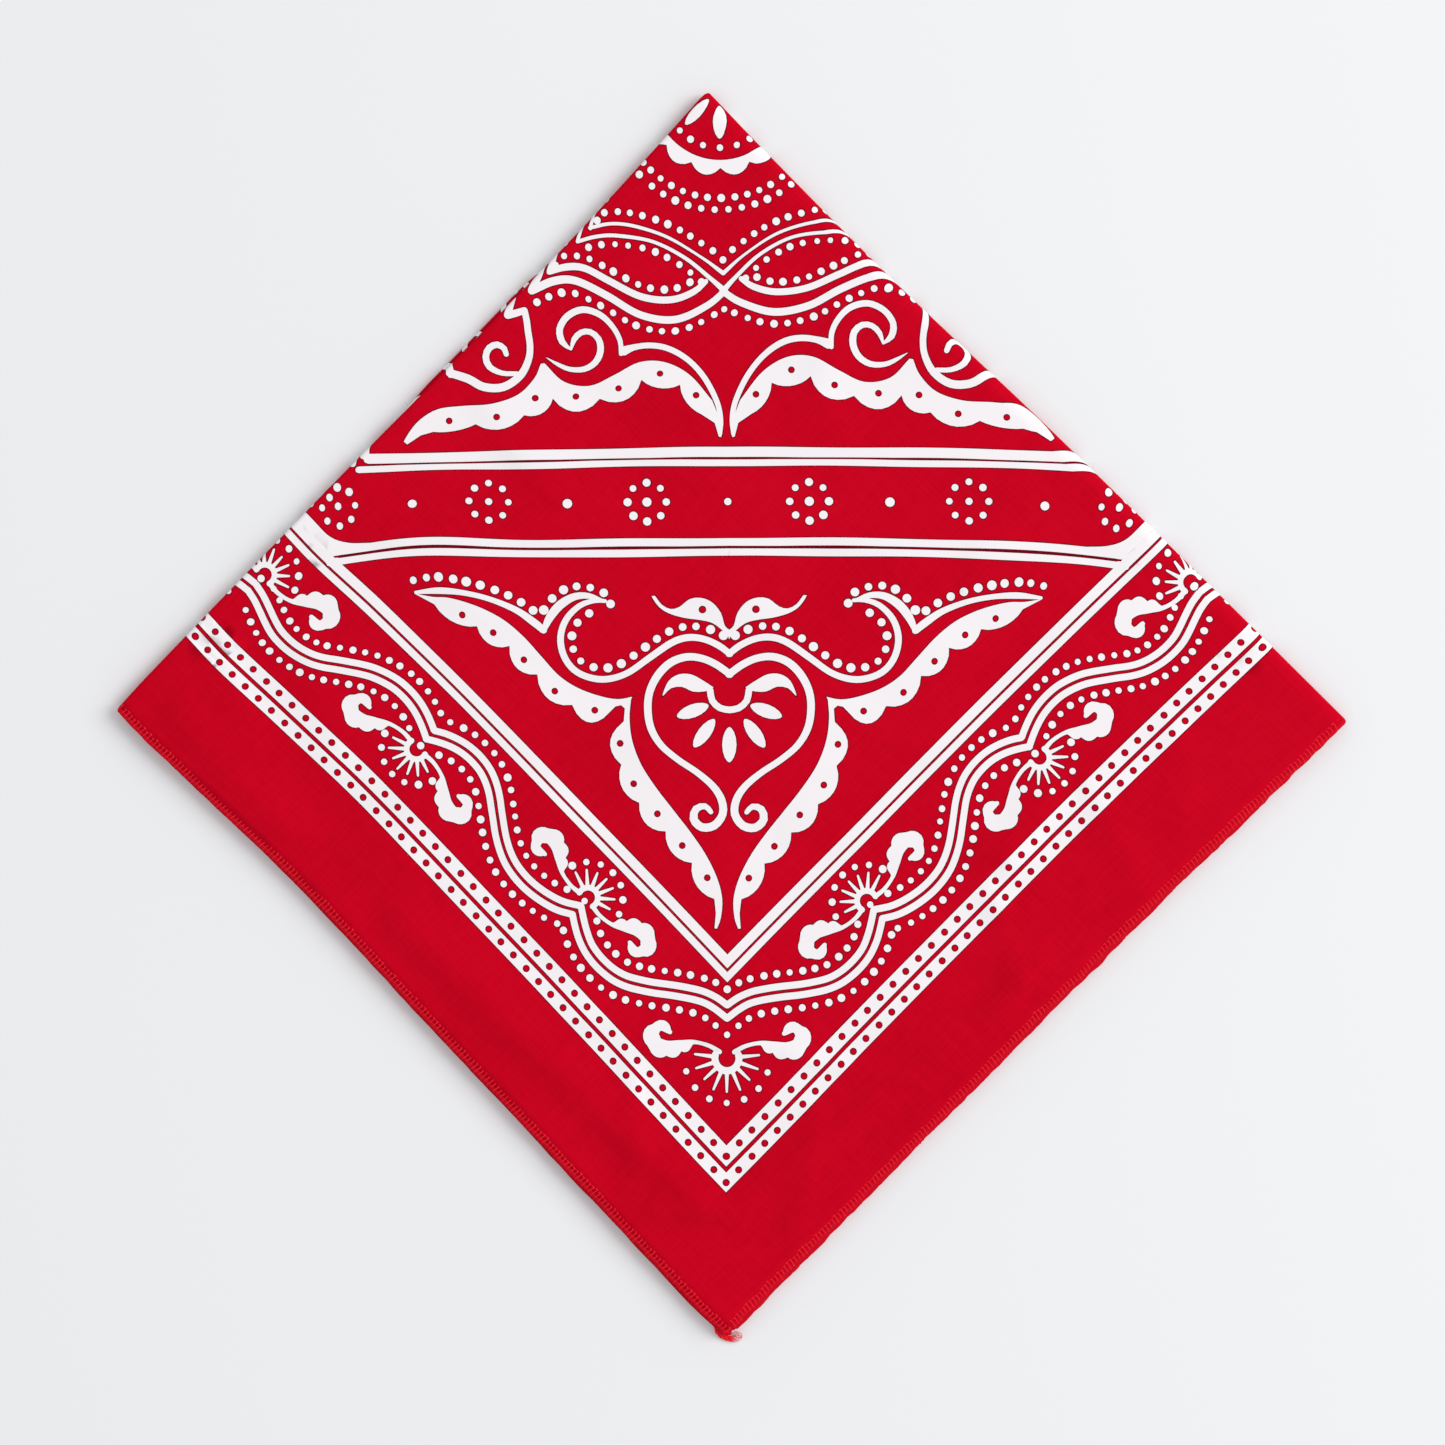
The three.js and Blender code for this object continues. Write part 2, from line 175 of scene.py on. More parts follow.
def relief(x, y):
    """Height that creases, swells and the slack between hem and folds add to the top layer."""
    height = CREASE_RISE * crease_height(CREASES, x, y)
    for rise, length, turn, start in SWELLS:
        height += rise * np.sin((x * math.cos(turn) + y * math.sin(turn)) * 2 * math.pi / length + start)
    slack = SLACK * off_hems(x, y, HEM_WIDTH, SLACK_EASES_OVER)
    return off_folds(x, y) * (height * off_hems(x, y, 0, HEM_EASES_OVER) - slack)


def lay(x, y, z):
    """Moves points of the straight bed to where the cloth lies, as rows of x, y, z."""
    x, y, z = (np.asarray(v, float) for v in np.broadcast_arrays(x, y, z))
    left = smooth(x / SLIP_EASES_OVER) * (y / FOLDED_SIDE) ** 2 * read_table(LEFT_SLIPS, z)
    right = smooth(y / SLIP_EASES_OVER) * (x / FOLDED_SIDE) ** 2 * read_table(RIGHT_SLIPS, z)
    lower = 1 - smooth((z - MIDDLE + GAP / 2) / GAP)
    peek_share = (y - PEEK_FROM) / (PEEK_TO - PEEK_FROM)
    peek = PEEK_OUT * smooth(4 * peek_share) * smooth(4 - 4 * peek_share) * lower
    # The plan is spread between the four corners and bowed along each edge, and the height has its creases.
    a = (x + right - peek * np.maximum(0, 1 - x / SLIP_EASES_OVER)) / FOLDED_SIDE
    b = (y + left) / FOLDED_SIDE
    plan = sum(share[..., None] * np.array(CORNERS[name]) for name, share in (
        ("crown", (1 - a) * (1 - b)), ("second fold end", a * (1 - b)),
        ("first fold end", (1 - a) * b), ("open corner", a * b)))
    for name, place, share in (("first fold", b, 1 - a), ("second fold", a, 1 - b),
                               ("left hem", a, b), ("right hem", 1 - b, a)):
        plan = plan + OUTWARD[name] * (read_table(BOWS[name], place) * share)[..., None]
    on_top = smooth((z - HIDDEN_TOP) / (TOP_UNDERSIDE - HIDDEN_TOP))
    at_bottom = (1 - smooth((z - WALL) / GAP)) * off_folds(x, y) * off_hems(x, y, HEM_WIDTH, HEM_EASES_OVER)
    under = UNDER_CREASE_RISE * crease_height(UNDER_CREASES, x, y)
    raised = z + on_top * relief(x, y) + at_bottom * under
    return np.dstack([plan[..., 0], plan[..., 1], raised]).reshape(x.shape + (3,))


def folded(across, along, off):
    """Places points of the cloth. across runs from the nose of the first fold and along from that of the
    second, positive on the upper side. off is the distance from the middle of the layer, towards the
    folds' outside."""
    across, along, off = np.broadcast_arrays(*(np.asarray(v, float) for v in (across, along, off)))
    radius = FIRST_TURN + off
    turning = np.abs(across) < QUARTER_TURN
    x = np.where(turning, FIRST_AXIS - radius * np.cos(across), FIRST_AXIS + np.abs(across) - QUARTER_TURN)
    bend = SECOND_TURN + np.where(turning, radius * np.sin(across), np.sign(across) * radius)
    turning = np.abs(along) < QUARTER_TURN
    y = np.where(turning, SECOND_AXIS - SECOND_REACH * bend * np.cos(along),
                 SECOND_AXIS + np.abs(along) - QUARTER_TURN)
    z = MIDDLE + np.where(turning, bend * np.sin(along), np.sign(along) * bend)
    return lay(x, y, z)


# The cloth measured flat: x and y as on the bed where it lies flat, and running on round the noses of the
# folds. The first fold is half a circle outside, and the second half an ellipse.
FIRST_ARC = math.pi * (FIRST_TURN + WALL / 2)
ELLIPSE_ROOT = math.sqrt((3 * SECOND_AXIS + MIDDLE) * (SECOND_AXIS + 3 * MIDDLE))
SECOND_ARC = math.pi * (3 * (SECOND_AXIS + MIDDLE) - ELLIPSE_ROOT) / 2


def across_at(x):
    turn = QUARTER_TURN - math.pi * (FIRST_AXIS - x) / FIRST_ARC
    return np.where(x >= FIRST_AXIS, x - FIRST_AXIS + QUARTER_TURN, turn)


def along_at(y):
    turn = QUARTER_TURN - math.pi * (SECOND_AXIS - y) / SECOND_ARC
    tucked = y - SECOND_AXIS + SECOND_ARC - QUARTER_TURN
    turned = np.where(turn > -QUARTER_TURN, turn, tucked)
    return np.where(y >= SECOND_AXIS, y - SECOND_AXIS + QUARTER_TURN, turned)


# Its print: white ink, with a thin dark line where ink and ground meet, and dots left bare in it. It is
# drawn flat, in millimetres, as (across, down) from the middle of the cloth: rows of dots and scallops by
# rule, and strokes through a few points with a width at each. The right half is drawn, and the rest
# mirrored. Outlines lie on each other in the order of these kinds, and each kind says what the cloth has
# inside it: 1 ink, -1 a dark line, 0 bare cotton.
EDGE, INK, BARE, CORE = 1, 2, 3, 4
INSIDE_OF = {EDGE: -1, INK: 1, BARE: -1, CORE: 0}
EDGE_WIDTH, BARE_EDGE = 0.32, 0.34
SHARPEST_CORNER = 0.35
MIRROR_REACH = 16
DOT, BARE_DOT = 1.12, 1.18
DOT_LEAST, DOT_MOST = 0.86, 1.16
DOTS_MEET = 1.25
HALF_ROOT = math.sqrt(0.5)
draw = random.Random(7)
shapes = []


def curve(rows, step=1.4):
    """Points on a smooth line through the given rows, which may carry a width as a third value."""
    rows = np.array(rows, float)
    padded = np.vstack([2 * rows[0] - rows[1], rows, 2 * rows[-1] - rows[-2]])
    pieces = []
    for before, start, end, after in zip(padded, padded[1:], padded[2:], padded[3:]):
        count = max(1, round(float(np.linalg.norm((end - start)[:2])) / step))
        t = (np.arange(count) / count)[:, None]
        pieces.append(start + 0.5 * t * (end - before + t * (
            2 * before - 5 * start + 4 * end - after + t * (3 * (start - end) + after - before))))
    return np.vstack([*pieces, rows[-1:]])


def sideways(line):
    tangent = np.gradient(line[:, :2], axis=0)
    tangent /= np.linalg.norm(tangent, axis=1)[:, None] + 1e-9
    return np.column_stack([-tangent[:, 1], tangent[:, 0]])


def grown(outline, by):
    """The outline moved out by a distance, with its sharp corners cut short."""
    area = np.sum(outline[:, 0] * np.roll(outline[:, 1], -1) - np.roll(outline[:, 0], -1) * outline[:, 1])
    edge = np.roll(outline, -1, axis=0) - outline
    normal = np.column_stack([edge[:, 1], -edge[:, 0]]) / (np.linalg.norm(edge, axis=1)[:, None] + 1e-9)
    corner = normal + np.roll(normal, 1, axis=0)
    corner /= np.maximum(0.5 * np.sum(corner * corner, axis=1), SHARPEST_CORNER)[:, None]
    return outline + math.copysign(by, area) * corner


def mirrored(outline):
    """The outline on the cloth, and its mirror images about the middle line and both folds."""
    x, y = (outline[:, 1] + outline[:, 0]) * HALF_ROOT, (outline[:, 1] - outline[:, 0]) * HALF_ROOT
    copies = [np.column_stack([x, y]), np.column_stack([y, x])]
    for image in list(copies):
        for axis in (0, 1):
            if image[:, axis].min() < MIRROR_REACH:
                copies.append(image * (-1, 1) if axis == 0 else image * (1, -1))
    return copies


def add(kind, outline):
    outline = np.array(outline, float)
    for image in mirrored(outline):
        shapes.append((kind, image))
    if kind == INK:
        add(EDGE, grown(outline, EDGE_WIDTH))


def disc(centre, radius, corners=12):
    turn = np.arange(corners) * 2 * math.pi / corners
    return np.column_stack([centre[0] + radius * np.cos(turn), centre[1] + radius * np.sin(turn)])


def dot(centre, radius=DOT):
    """A printed dot. One that would meet its mirror image is drawn right on the middle line or fold."""
    across, down = centre
    if across < DOTS_MEET * radius:
        across = 0
    if (down - across) * HALF_ROOT < DOTS_MEET * radius:
        across = down = (across + down) / 2
    add(INK, disc((across, down), radius * draw.uniform(DOT_LEAST, DOT_MOST)))


def bare_dot(centre, radius=BARE_DOT):
    add(BARE, disc(centre, radius, 10))
    add(CORE, disc(centre, radius - BARE_EDGE, 10))


def petal(centre, length, width, angle):
    """A pointed oval. angle is its direction, in degrees from straight across towards straight down."""
    turn = np.arange(16) * math.pi / 8
    long = length / 2 * np.cos(turn)
    wide = width / 2 * np.sin(turn) * np.abs(np.sin(turn)) ** 0.25
    c, s = math.cos(math.radians(angle)), math.sin(math.radians(angle))
    add(INK, np.column_stack([centre[0] + long * c - wide * s, centre[1] + long * s + wide * c]))


ROUND_END = (0.8, QUARTER_TURN, 2.34)


def stroke_outline(rows, lobes=0, lobe_depth=0.0, plain_share=0.0):
    """The outline of a brush stroke through rows of (across, down, width), with round ends. One side may
    swell into round lobes, past a first share of its length that stays plain."""
    line = curve(rows, 0.7 if lobes else 1.4)
    side = sideways(line) * np.maximum(line[:, 2:] / 2, 0.05)
    ahead = np.column_stack([side[:, 1], -side[:, 0]])
    last = [line[-1, :2] + side[-1] * math.cos(t) + ahead[-1] * math.sin(t) for t in ROUND_END]
    first = [line[0, :2] - side[0] * math.cos(t) - ahead[0] * math.sin(t) for t in ROUND_END]
    past_plain = (np.linspace(0, 1, len(line)) - plain_share) / (1 - plain_share)
    lobed = np.clip(past_plain, 0, 1) * math.pi * lobes
    swell = lobe_depth * np.abs(np.sin(lobed))[:, None] ** 0.7 * sideways(line)
    return np.vstack([line[:, :2] + side + swell, last, (line[:, :2] - side)[::-1], first])


def stroke(rows):
    add(INK, stroke_outline(rows))


def moved_end(path, by):
    """The path with its last point moved further along it, or back where by is below zero."""
    step = np.linalg.norm(np.diff(path, axis=0), axis=1)
    if by > 0:
        return np.vstack([path, path[-1] + by * (path[-1] - path[-2]) / step[-1]])
    length = np.concatenate([[0], np.cumsum(step)])
    end = length[-1] + by
    last = [np.interp(end, length, path[:, 0]), np.interp(end, length, path[:, 1])]
    return np.vstack([path[length < end], [last]])


def to_middle(path):
    """The part of a path to the right of the middle line of the corner, cut right on it."""
    inside = np.flatnonzero(path[:, 0] >= 0)
    first, last = inside[0], inside[-1]
    kept = [path[first:last + 1]]
    if first > 0:
        share = path[first, 0] / (path[first, 0] - path[first - 1, 0])
        kept.insert(0, path[first] + share * (path[first - 1] - path[first]))
    if last < len(path) - 1:
        share = path[last, 0] / (path[last, 0] - path[last + 1, 0])
        kept.append(path[last] + share * (path[last + 1] - path[last]))
    return np.vstack(kept)


def dots_beside(rows, away, pitch, start=0.0, stop=0.0, radius=DOT):
    """A row of dots at an even distance beside a line, to the left of it where away is positive."""
    line = curve([row[:2] for row in rows], 0.5)
    path = to_middle(line + away * sideways(line))
    length = np.concatenate([[0], np.cumsum(np.linalg.norm(np.diff(path, axis=0), axis=1))])
    room = length[-1] - start - stop
    count = max(1, round(room / pitch))
    for i in range(count + 1):
        at = start + room * i / count + draw.uniform(-0.25, 0.25)
        dot((np.interp(at, length, path[:, 0]), np.interp(at, length, path[:, 1])), radius)


def scallops(cusps, bulges):
    """Points of an edge of round lobes between cusps. A bulge is the depth of the lobe to its right."""
    cusps = np.array(cusps, float)
    points = []
    for start, end, bulge in zip(cusps, cusps[1:], bulges):
        side = np.array([-(end - start)[1], (end - start)[0]]) / np.linalg.norm(end - start)
        for share in np.arange(7) / 7:
            points.append(start + (end - start) * share + side * bulge * math.sin(math.pi * share) ** 0.75)
    return np.array(points)


# Round the middle of the cloth: eight petals, a ring of dots, a scalloped ring and two more rings of dots.
PETALS_OUT, SCALLOPS_OUT, SCALLOPS_IN = 10.2, 24, 21.6
for turn, length, width in ((90, 10, 4.1), (45, 10.4, 3.2)):
    along = math.radians(turn)
    petal((PETALS_OUT * math.cos(along), PETALS_OUT * math.sin(along)), length, width, turn)
for radius, count, first, size in ((17.9, 26, 3.6, 1.08), (33.1, 52, 0.6, 1.1), (36.6, 54, 3.4, 1.15)):
    for i in range(-count // 8 - 1, count // 8 + 2):
        along = math.radians(90 - first - 360 * i / count)
        if abs(i) <= count / 8 and along <= QUARTER_TURN - size / radius:
            dot((radius * math.cos(along), radius * math.sin(along)), size)
dot((0, 33.1), 1.1)
turns = [math.radians(angle) for angle in (90, 67.5, 45)]
ring = [(SCALLOPS_OUT * math.cos(turn), SCALLOPS_OUT * math.sin(turn)) for turn in turns]
turns = [math.radians(angle) for angle in range(45, 91, 5)]
inner_ring = [(SCALLOPS_IN * math.cos(turn), SCALLOPS_IN * math.sin(turn)) for turn in turns]
add(INK, np.vstack([scallops(ring, (2.9, 2.9)), ring[-1:], inner_ring]))

# Two rows of long lenses, in plaited double lines.
first_line = [(0, 55.6, 1.3), (6.9, 50.3, 0.8), (16.9, 44.3, 0.9), (27, 41.1, 1.0), (35, 40.4, 1.0),
              (42, 41.8, 1.1)]
second_line = [(-0.6, 61.3, 1.9), (4, 56.9, 1.3), (12, 50.2, 1.1), (22, 45.3, 1.0), (33, 43.8, 1.1),
               (40, 44.3, 1.1), (46, 46, 1.1)]
third_line = [(5.6, 57.6, 1.6), (9.5, 60.3, 2.0), (16.5, 62.1, 2.1), (26, 61, 2.1), (36, 56.9, 2.1),
              (44, 53.6, 2.1), (50, 53.6, 2.1), (55.3, 55.3, 1.6)]
fourth_line = [(-0.4, 61, 2), (5.5, 65, 2.2), (15.5, 68.3, 2.4), (26.5, 66.5, 2.3), (37, 61.2, 2.3),
               (47, 57.4, 2.3), (54, 57.9, 2.4), (61, 61, 2.4)]
for line in (first_line, second_line, third_line, fourth_line):
    stroke(line)
dots_beside(first_line, -3.5, 4.2, start=3.9, stop=1.5)
dot((0, 51.6))
dots_beside(second_line, 2.5, 4.1, start=8.2, stop=3, radius=1.0)
dots_beside(third_line, -3.1, 4.3, start=4, stop=2)
dots_beside(fourth_line, 3.7, 4.4, start=3.9)
dot((0, 66.6))

# A broad leaf with a lobed lower edge and bare dots, and the scrolls that spring from it.
stroke([(2.0, 106.6, 1.1), (1.8, 102, 1.6), (2.8, 96.5, 1.7), (6, 89.5, 1.8), (9.9, 84, 1.8),
        (14.4, 79.9, 1.9), (19.3, 77.3, 2.0), (24.3, 76.5, 2.0), (29, 77.1, 2.1), (32.6, 78.4, 3.2)])
stroke([(33.4, 79.4, 1.4), (33.6, 75, 1.7), (35.8, 70.6, 1.8), (39.7, 67, 2.0), (45.2, 65.7, 2.0),
        (50.2, 67.9, 2.0), (52.9, 72, 2.0), (52.2, 76, 2.0), (49.6, 78.2, 0.7)])
stroke([(49.5, 78, 0.7), (48.6, 75, 1.7), (46.3, 72.7, 1.8), (43.3, 72.4, 1.9), (40.7, 74.6, 2.1),
        (40.2, 78.5, 2.2), (41.9, 82.3, 2.1), (45.4, 84.6, 1.9), (49.9, 84.7, 1.6), (53.6, 83.2, 1.2),
        (57, 81.2, 0.2)])
leaf_top = curve([(4.4, 95.8), (11.5, 87), (19.4, 82.4), (27.4, 82.3), (35.4, 86.5), (43.4, 90.2),
                  (51.5, 88.9), (57.6, 83)])
leaf_end = curve([(58.7, 83.2), (60.6, 88), (65.5, 93.3), (73.6, 96.2), (83, 96.8), (91, 98),
                  (97.2, 102.1), (101.3, 108.2), (100.2, 109.1)])
leaf_edge = scallops([(92, 105), (78.7, 102.6), (63.6, 99.9), (54.8, 94.5), (40.1, 94.6), (26.7, 88.4),
                      (14.4, 90.4), (5.4, 101)], (-0.9, -3.1, -2.4, -4.3, -4, -2, -2.4))
leaf_stem = [(3.7, 103), (2.5, 107.3), (1.7, 107.5), (1.6, 103)]
add(INK, np.vstack([leaf_top, leaf_end, [(96, 106.2)], leaf_edge, leaf_stem]))
for centre in ((9.4, 94), (20.7, 86.4), (34.1, 91.2), (47.7, 93.8), (60.2, 94.4), (72.1, 100.4),
               (87, 101.5)):
    bare_dot(centre, 1.1)
stroke([(68.6, 68.6, 2.4), (66, 67.9, 2.2), (63.4, 67.0, 2.0)])
stroke([(63.4, 67.0, 2.0), (62.8, 70, 2.0), (62.5, 73, 2.0), (61.9, 78, 2.0), (62.5, 82.5, 2.1),
        (65, 87.4, 2.4), (70, 90.9, 2.6), (76, 90.9, 2.6), (81, 88.4, 2.6), (87, 86.6, 2.4)])
stroke([(65.8, 86.6, 1.5), (70.4, 86.5, 1.6), (74.3, 84.6, 2.0), (75.5, 81.5, 2.1), (74.4, 78.8, 2.1),
        (71.9, 77.7, 2.0), (69.7, 78.9, 1.8), (69.1, 80.6, 1.6)])

# Two straight double rails with a row of rosettes between them.
RAIL_BOW, RAIL_WAVE = 1.3, 0.12
ROSETTE = 6.1
BETWEEN_RAILS = 127.8


def rail(top, bottom, reach):
    """A long straight line, bowed and waved a little."""
    middle, places = (top + bottom) / 2, np.linspace(-0.5, reach, 16)
    down = [middle + RAIL_BOW * (a / 100) ** 2 + RAIL_WAVE * math.sin(a / 9 + top) for a in places]
    stroke([(a, d, bottom - top) for a, d in zip(places, down)])


def rosette(across, down, size):
    for i in range(8):
        turn = i * math.pi / 4
        dot((across + ROSETTE * math.cos(turn), down + ROSETTE * math.sin(turn)), size)


for top, bottom, reach in ((110.6, 113.8, 112.4), (114.4, 116.5, 115.4), (139.2, 141.7, 127),
                           (142.5, 144.9, 127)):
    rail(top, bottom, reach)
stroke([(112, 141.8, 1.5), (121, 141.4, 2.6), (128, 139.4, 4.2), (134, 134, 4.6)])
add(BARE, stroke_outline([(-0.5, 114.1, 0.6), (50, 114.4, 0.6), (112, 115.7, 0.6)]))
add(BARE, stroke_outline([(-0.5, 142.1, 0.85), (60, 142.6, 0.85), (124, 144.2, 0.9)]))
for across in (25.5, 75):
    dot((across, BETWEEN_RAILS), 1.3)
    rosette(across, BETWEEN_RAILS, 1.22)
for across in (0, 50.5, 98.5):
    dot((across, BETWEEN_RAILS + 1.2 * (across / 100) ** 2), 1.35)
rosette(123, 128.6, 1.2)
dot((123, 128.6), 1.2)

# The frame inside the border, and the two broad bars with bare dots outside it, along the cloth's sides.
BAND_FROM, BAND_STEPS = -12, 24


def from_sides(x, y):
    """A place given by its distances from the sides of the print, as (across, down)."""
    return (x - y) * HALF_ROOT, (x + y) * HALF_ROOT


def band(near, far):
    """A straight band at a distance from one fold, from the other fold to the middle line of the cloth."""
    near_side = [from_sides(near, y) for y in np.linspace(BAND_FROM, near, BAND_STEPS)]
    far_side = [from_sides(far, y) for y in np.linspace(BAND_FROM, far, BAND_STEPS)]
    add(INK, near_side + far_side[::-1])


for near, far in ((190.75, 193.75), (194.6, 196.8), (232.05, 236.65), (238.0, 242.3)):
    band(near, far)
for middle, first, count in ((234.35, 3.2, 41), (240.15, 0, 43)):
    for at in np.linspace(first, middle, count):
        bare_dot(from_sides(middle, at + draw.uniform(-0.15, 0.15)))

# The heart, its fan of petals and the collar above it, and the two small leaves at the top.
collar = [(-0.2, 175.7, 2.0), (3.4, 173, 2.1), (8.3, 170.9, 2.1), (13.3, 170.5, 2.2), (18.3, 172.2, 2.2),
          (25, 176.8, 2.1), (32, 181.7, 2.0), (38.4, 183.7, 2.1), (44, 183.2, 2.1), (48.8, 180.8, 2.1),
          (52, 176.3, 2.1), (53, 170.5, 2.1), (51.2, 164.8, 2.0), (47, 160.5, 1.8), (42.4, 158.9, 1.5),
          (39, 159, 1.2)]
stroke(collar)
dots_beside(collar, -3.5, 4.45, start=2.2, stop=5, radius=1.3)
dot((37.3, 159.9), 1.45)
stroke([(-0.2, 182.1, 2.3), (4, 179.1, 2.3), (8.5, 177.1, 2.3), (13.5, 176.6, 2.4), (18.5, 178.4, 2.5),
        (22.5, 182.4, 2.5), (25, 187.5, 2.4), (25.6, 193, 2.4), (24.6, 199, 2.3), (21.4, 204.4, 2.1),
        (16, 209, 2.0), (10, 213, 2.0), (5, 217.3, 2.2), (2.3, 221.6, 2.4), (1.9, 226, 2.5),
        (4.5, 229.6, 2.6), (8.4, 230.2, 2.6), (11, 227.6, 2.6), (10.2, 224.4, 2.3), (7.4, 223.6, 1.9),
        (5.6, 225.4, 1.5)])
stroke([(6.1, 187, 2.1), (5.4, 190.4, 2.1), (2.9, 192.7, 2.1), (-0.2, 193.3, 2.1)])
add(INK, curve([(5.0, 186.2), (8, 184.2), (12, 182.1), (16, 182.1), (19.2, 184.3), (21, 188.9),
                (18.4, 186.5), (15, 186), (11.5, 187.5), (8.2, 187.5), (6, 187)]))
petal((11.5, 193.6), 10.6, 4.2, 20)
petal((7.9, 200.6), 11, 4.1, 54)
petal((0, 204.2), 11.2, 4.5, 90)
add(INK, curve([(-0.2, 171), (1.8, 168.6), (5.2, 166), (9, 165), (14, 164.3), (18.6, 163), (22, 160.9),
                (24.4, 157.4), (23.4, 157.3), (21.2, 160.1), (18.4, 161.5), (15.6, 160.8), (12.4, 158.4),
                (9, 158), (5.4, 159.4), (2.6, 162.8), (1.4, 166.8), (-0.2, 168.2)]))
bare_dot((8.4, 161.7), 1.25)

# A wing on either side: a long lobed leaf that turns down into another, and a line and dots over it.
stroke([(58.3, 168.4, 2.2), (61.5, 165.8, 2.4), (67, 162.1, 2.0), (75, 159, 1.7), (83, 157.4, 1.7),
        (91, 156.9, 2.0), (99, 157.4, 1.0)])
stroke([(58.2, 168.3, 1.6), (56.3, 164.2, 2.6), (53, 160.2, 2.8), (48.5, 157.6, 2.3), (44, 157.4, 1.8),
        (40, 158.9, 1.2)])
upper_line = [(39, 158), (44, 156), (50, 156), (55, 159.5), (58.6, 164.4), (62, 163.4), (68, 159.6),
              (76, 156.6), (84, 154.9), (92, 154), (99.5, 155)]
dots_beside(upper_line, -1.3, 4.35, start=1.0, stop=0.2, radius=1.35)
wing_top = curve([(99.5, 157.7), (93.4, 158.8), (88.4, 159), (82.4, 160.3), (76.4, 162.4), (70.4, 165.6),
                  (64.5, 170.6), (59, 176.7), (53.5, 182.7), (47.5, 186.6), (40.5, 189.1), (35, 190),
                  (30.5, 189.2)])
wing_inside = curve([(30.9, 190.2), (31.3, 196), (30.4, 203), (27.6, 210.5), (22.9, 217.8), (17.3, 225),
                     (11.8, 232), (7.1, 238.8), (3.5, 246), (1.8, 252.5), (2.2, 258.5), (3.4, 261.8)])
wing_tip = [(4.2, 261.7), (3.8, 257)]
lower_lobes = scallops([(4.3, 252.6), (11.5, 241.4), (19.9, 231.6), (28.3, 222.7), (33.9, 210.7),
                        (33.1, 197.4)], (2.6, 2.8, 3.0, 3.0, 3.9))
wing_bend = [(33.1, 197), (32.8, 192.9), (34, 191.9), (35.7, 192.3)]
upper_lobes = scallops([(37.3, 193.9), (49.4, 192), (60.4, 182.5), (69.1, 173.6), (79.4, 167.6),
                        (93, 161.1)], (4.6, 3.7, 3.4, 2.9, 2.3))
add(INK, np.vstack([wing_top, wing_inside, wing_tip, lower_lobes, wing_bend, upper_lobes, [(93, 161.1)]]))
for centre in ((84, 164.2), (74.2, 169.5), (64.6, 177.9), (54.9, 187.7), (42.2, 193.6), (34.2, 204),
               (30, 216.7), (22.5, 226.1), (14.6, 236), (6.6, 246)):
    bare_dot(centre, 1.12)

# The waving ribbon in the border, a double line with dots on both sides, in five swags over the corner.
SWAGS = [
    [(152.6, 152.6), (149.6, 157), (147, 162.5), (143.6, 168.4), (138, 174), (131, 177.9), (122, 179.9),
     (113, 182.2), (105.4, 186.4), (100.3, 191.8), (97.2, 197.3), (95.4, 202.2)],
    [(95.4, 202.2), (89.6, 203.8), (83.4, 207.2), (78.2, 212.6), (75.3, 219), (73.9, 227), (72.6, 234.5),
     (70, 241.6), (65.4, 247.6), (59.6, 252.2), (53.6, 255.3), (48.3, 256.6)],
    [(48.3, 256.6), (47.2, 261.5), (45.1, 267.4), (40.6, 273.2), (34, 277.8), (25.4, 280), (16, 281.2),
     (8, 282.8), (3, 285.2), (-4, 290.4)],
]
RIBBON_HALF, RIBBON_LINE, RIBBON_MITRE = 1.62, 2.15, 1.0
DOTS_OFF, FIRST_OUTSIDE_BEND, FIRST_INSIDE_BEND = 5.6, 4.4, 5.3
DOT_PITCHES = (4.05, 4.4, 4.25)
for number, (swag, pitch) in enumerate(zip(SWAGS, DOT_PITCHES)):
    line = curve(swag)
    ends_at_middle = number == len(SWAGS) - 1
    for away in (-RIBBON_HALF, RIBBON_HALF):
        starts_outside_bend = (away > 0) == (number % 2 == 0)
        path = to_middle(line + away * sideways(line))
        if number > 0:
            path = moved_end(path[::-1], RIBBON_MITRE if starts_outside_bend else -RIBBON_MITRE)[::-1]
        if not ends_at_middle:
            path = moved_end(path, -RIBBON_MITRE if starts_outside_bend else RIBBON_MITRE)
        stroke([(a, d, RIBBON_LINE) for a, d in [*path[:-2:3], path[-1]]])
    for away in (-DOTS_OFF, DOTS_OFF):
        first, last = FIRST_INSIDE_BEND, FIRST_OUTSIDE_BEND
        if (away > 0) == (number % 2 == 0):
            first, last = last, first
        dots_beside(swag, away, pitch, start=first, stop=0 if ends_at_middle else last)

# A burst of rays on a small cup at each bend of the ribbon, with two curled leaves and an arc of dots. A
# leaf is one stroke that swells from a thin stem and hooks back, with lobes round its outer side.
CURLED_LEAF = [(3.2, -0.8, 1.7), (7.6, -1.0, 1.4), (12.8, 0.3, 1.5), (16.4, 3.3, 3.6), (20.2, 6.0, 4.8),
               (24.2, 6.4, 4.9), (26.5, 3.6, 4.2), (25.2, 0.8, 2.6), (21.4, 0.8, 1.5)]
BETWEEN_RAYS = 24
CUP, RAYS_FROM, DOTS_OUT, WIDEST_DOT_TURN = 3.5, 4, 12.4, 80


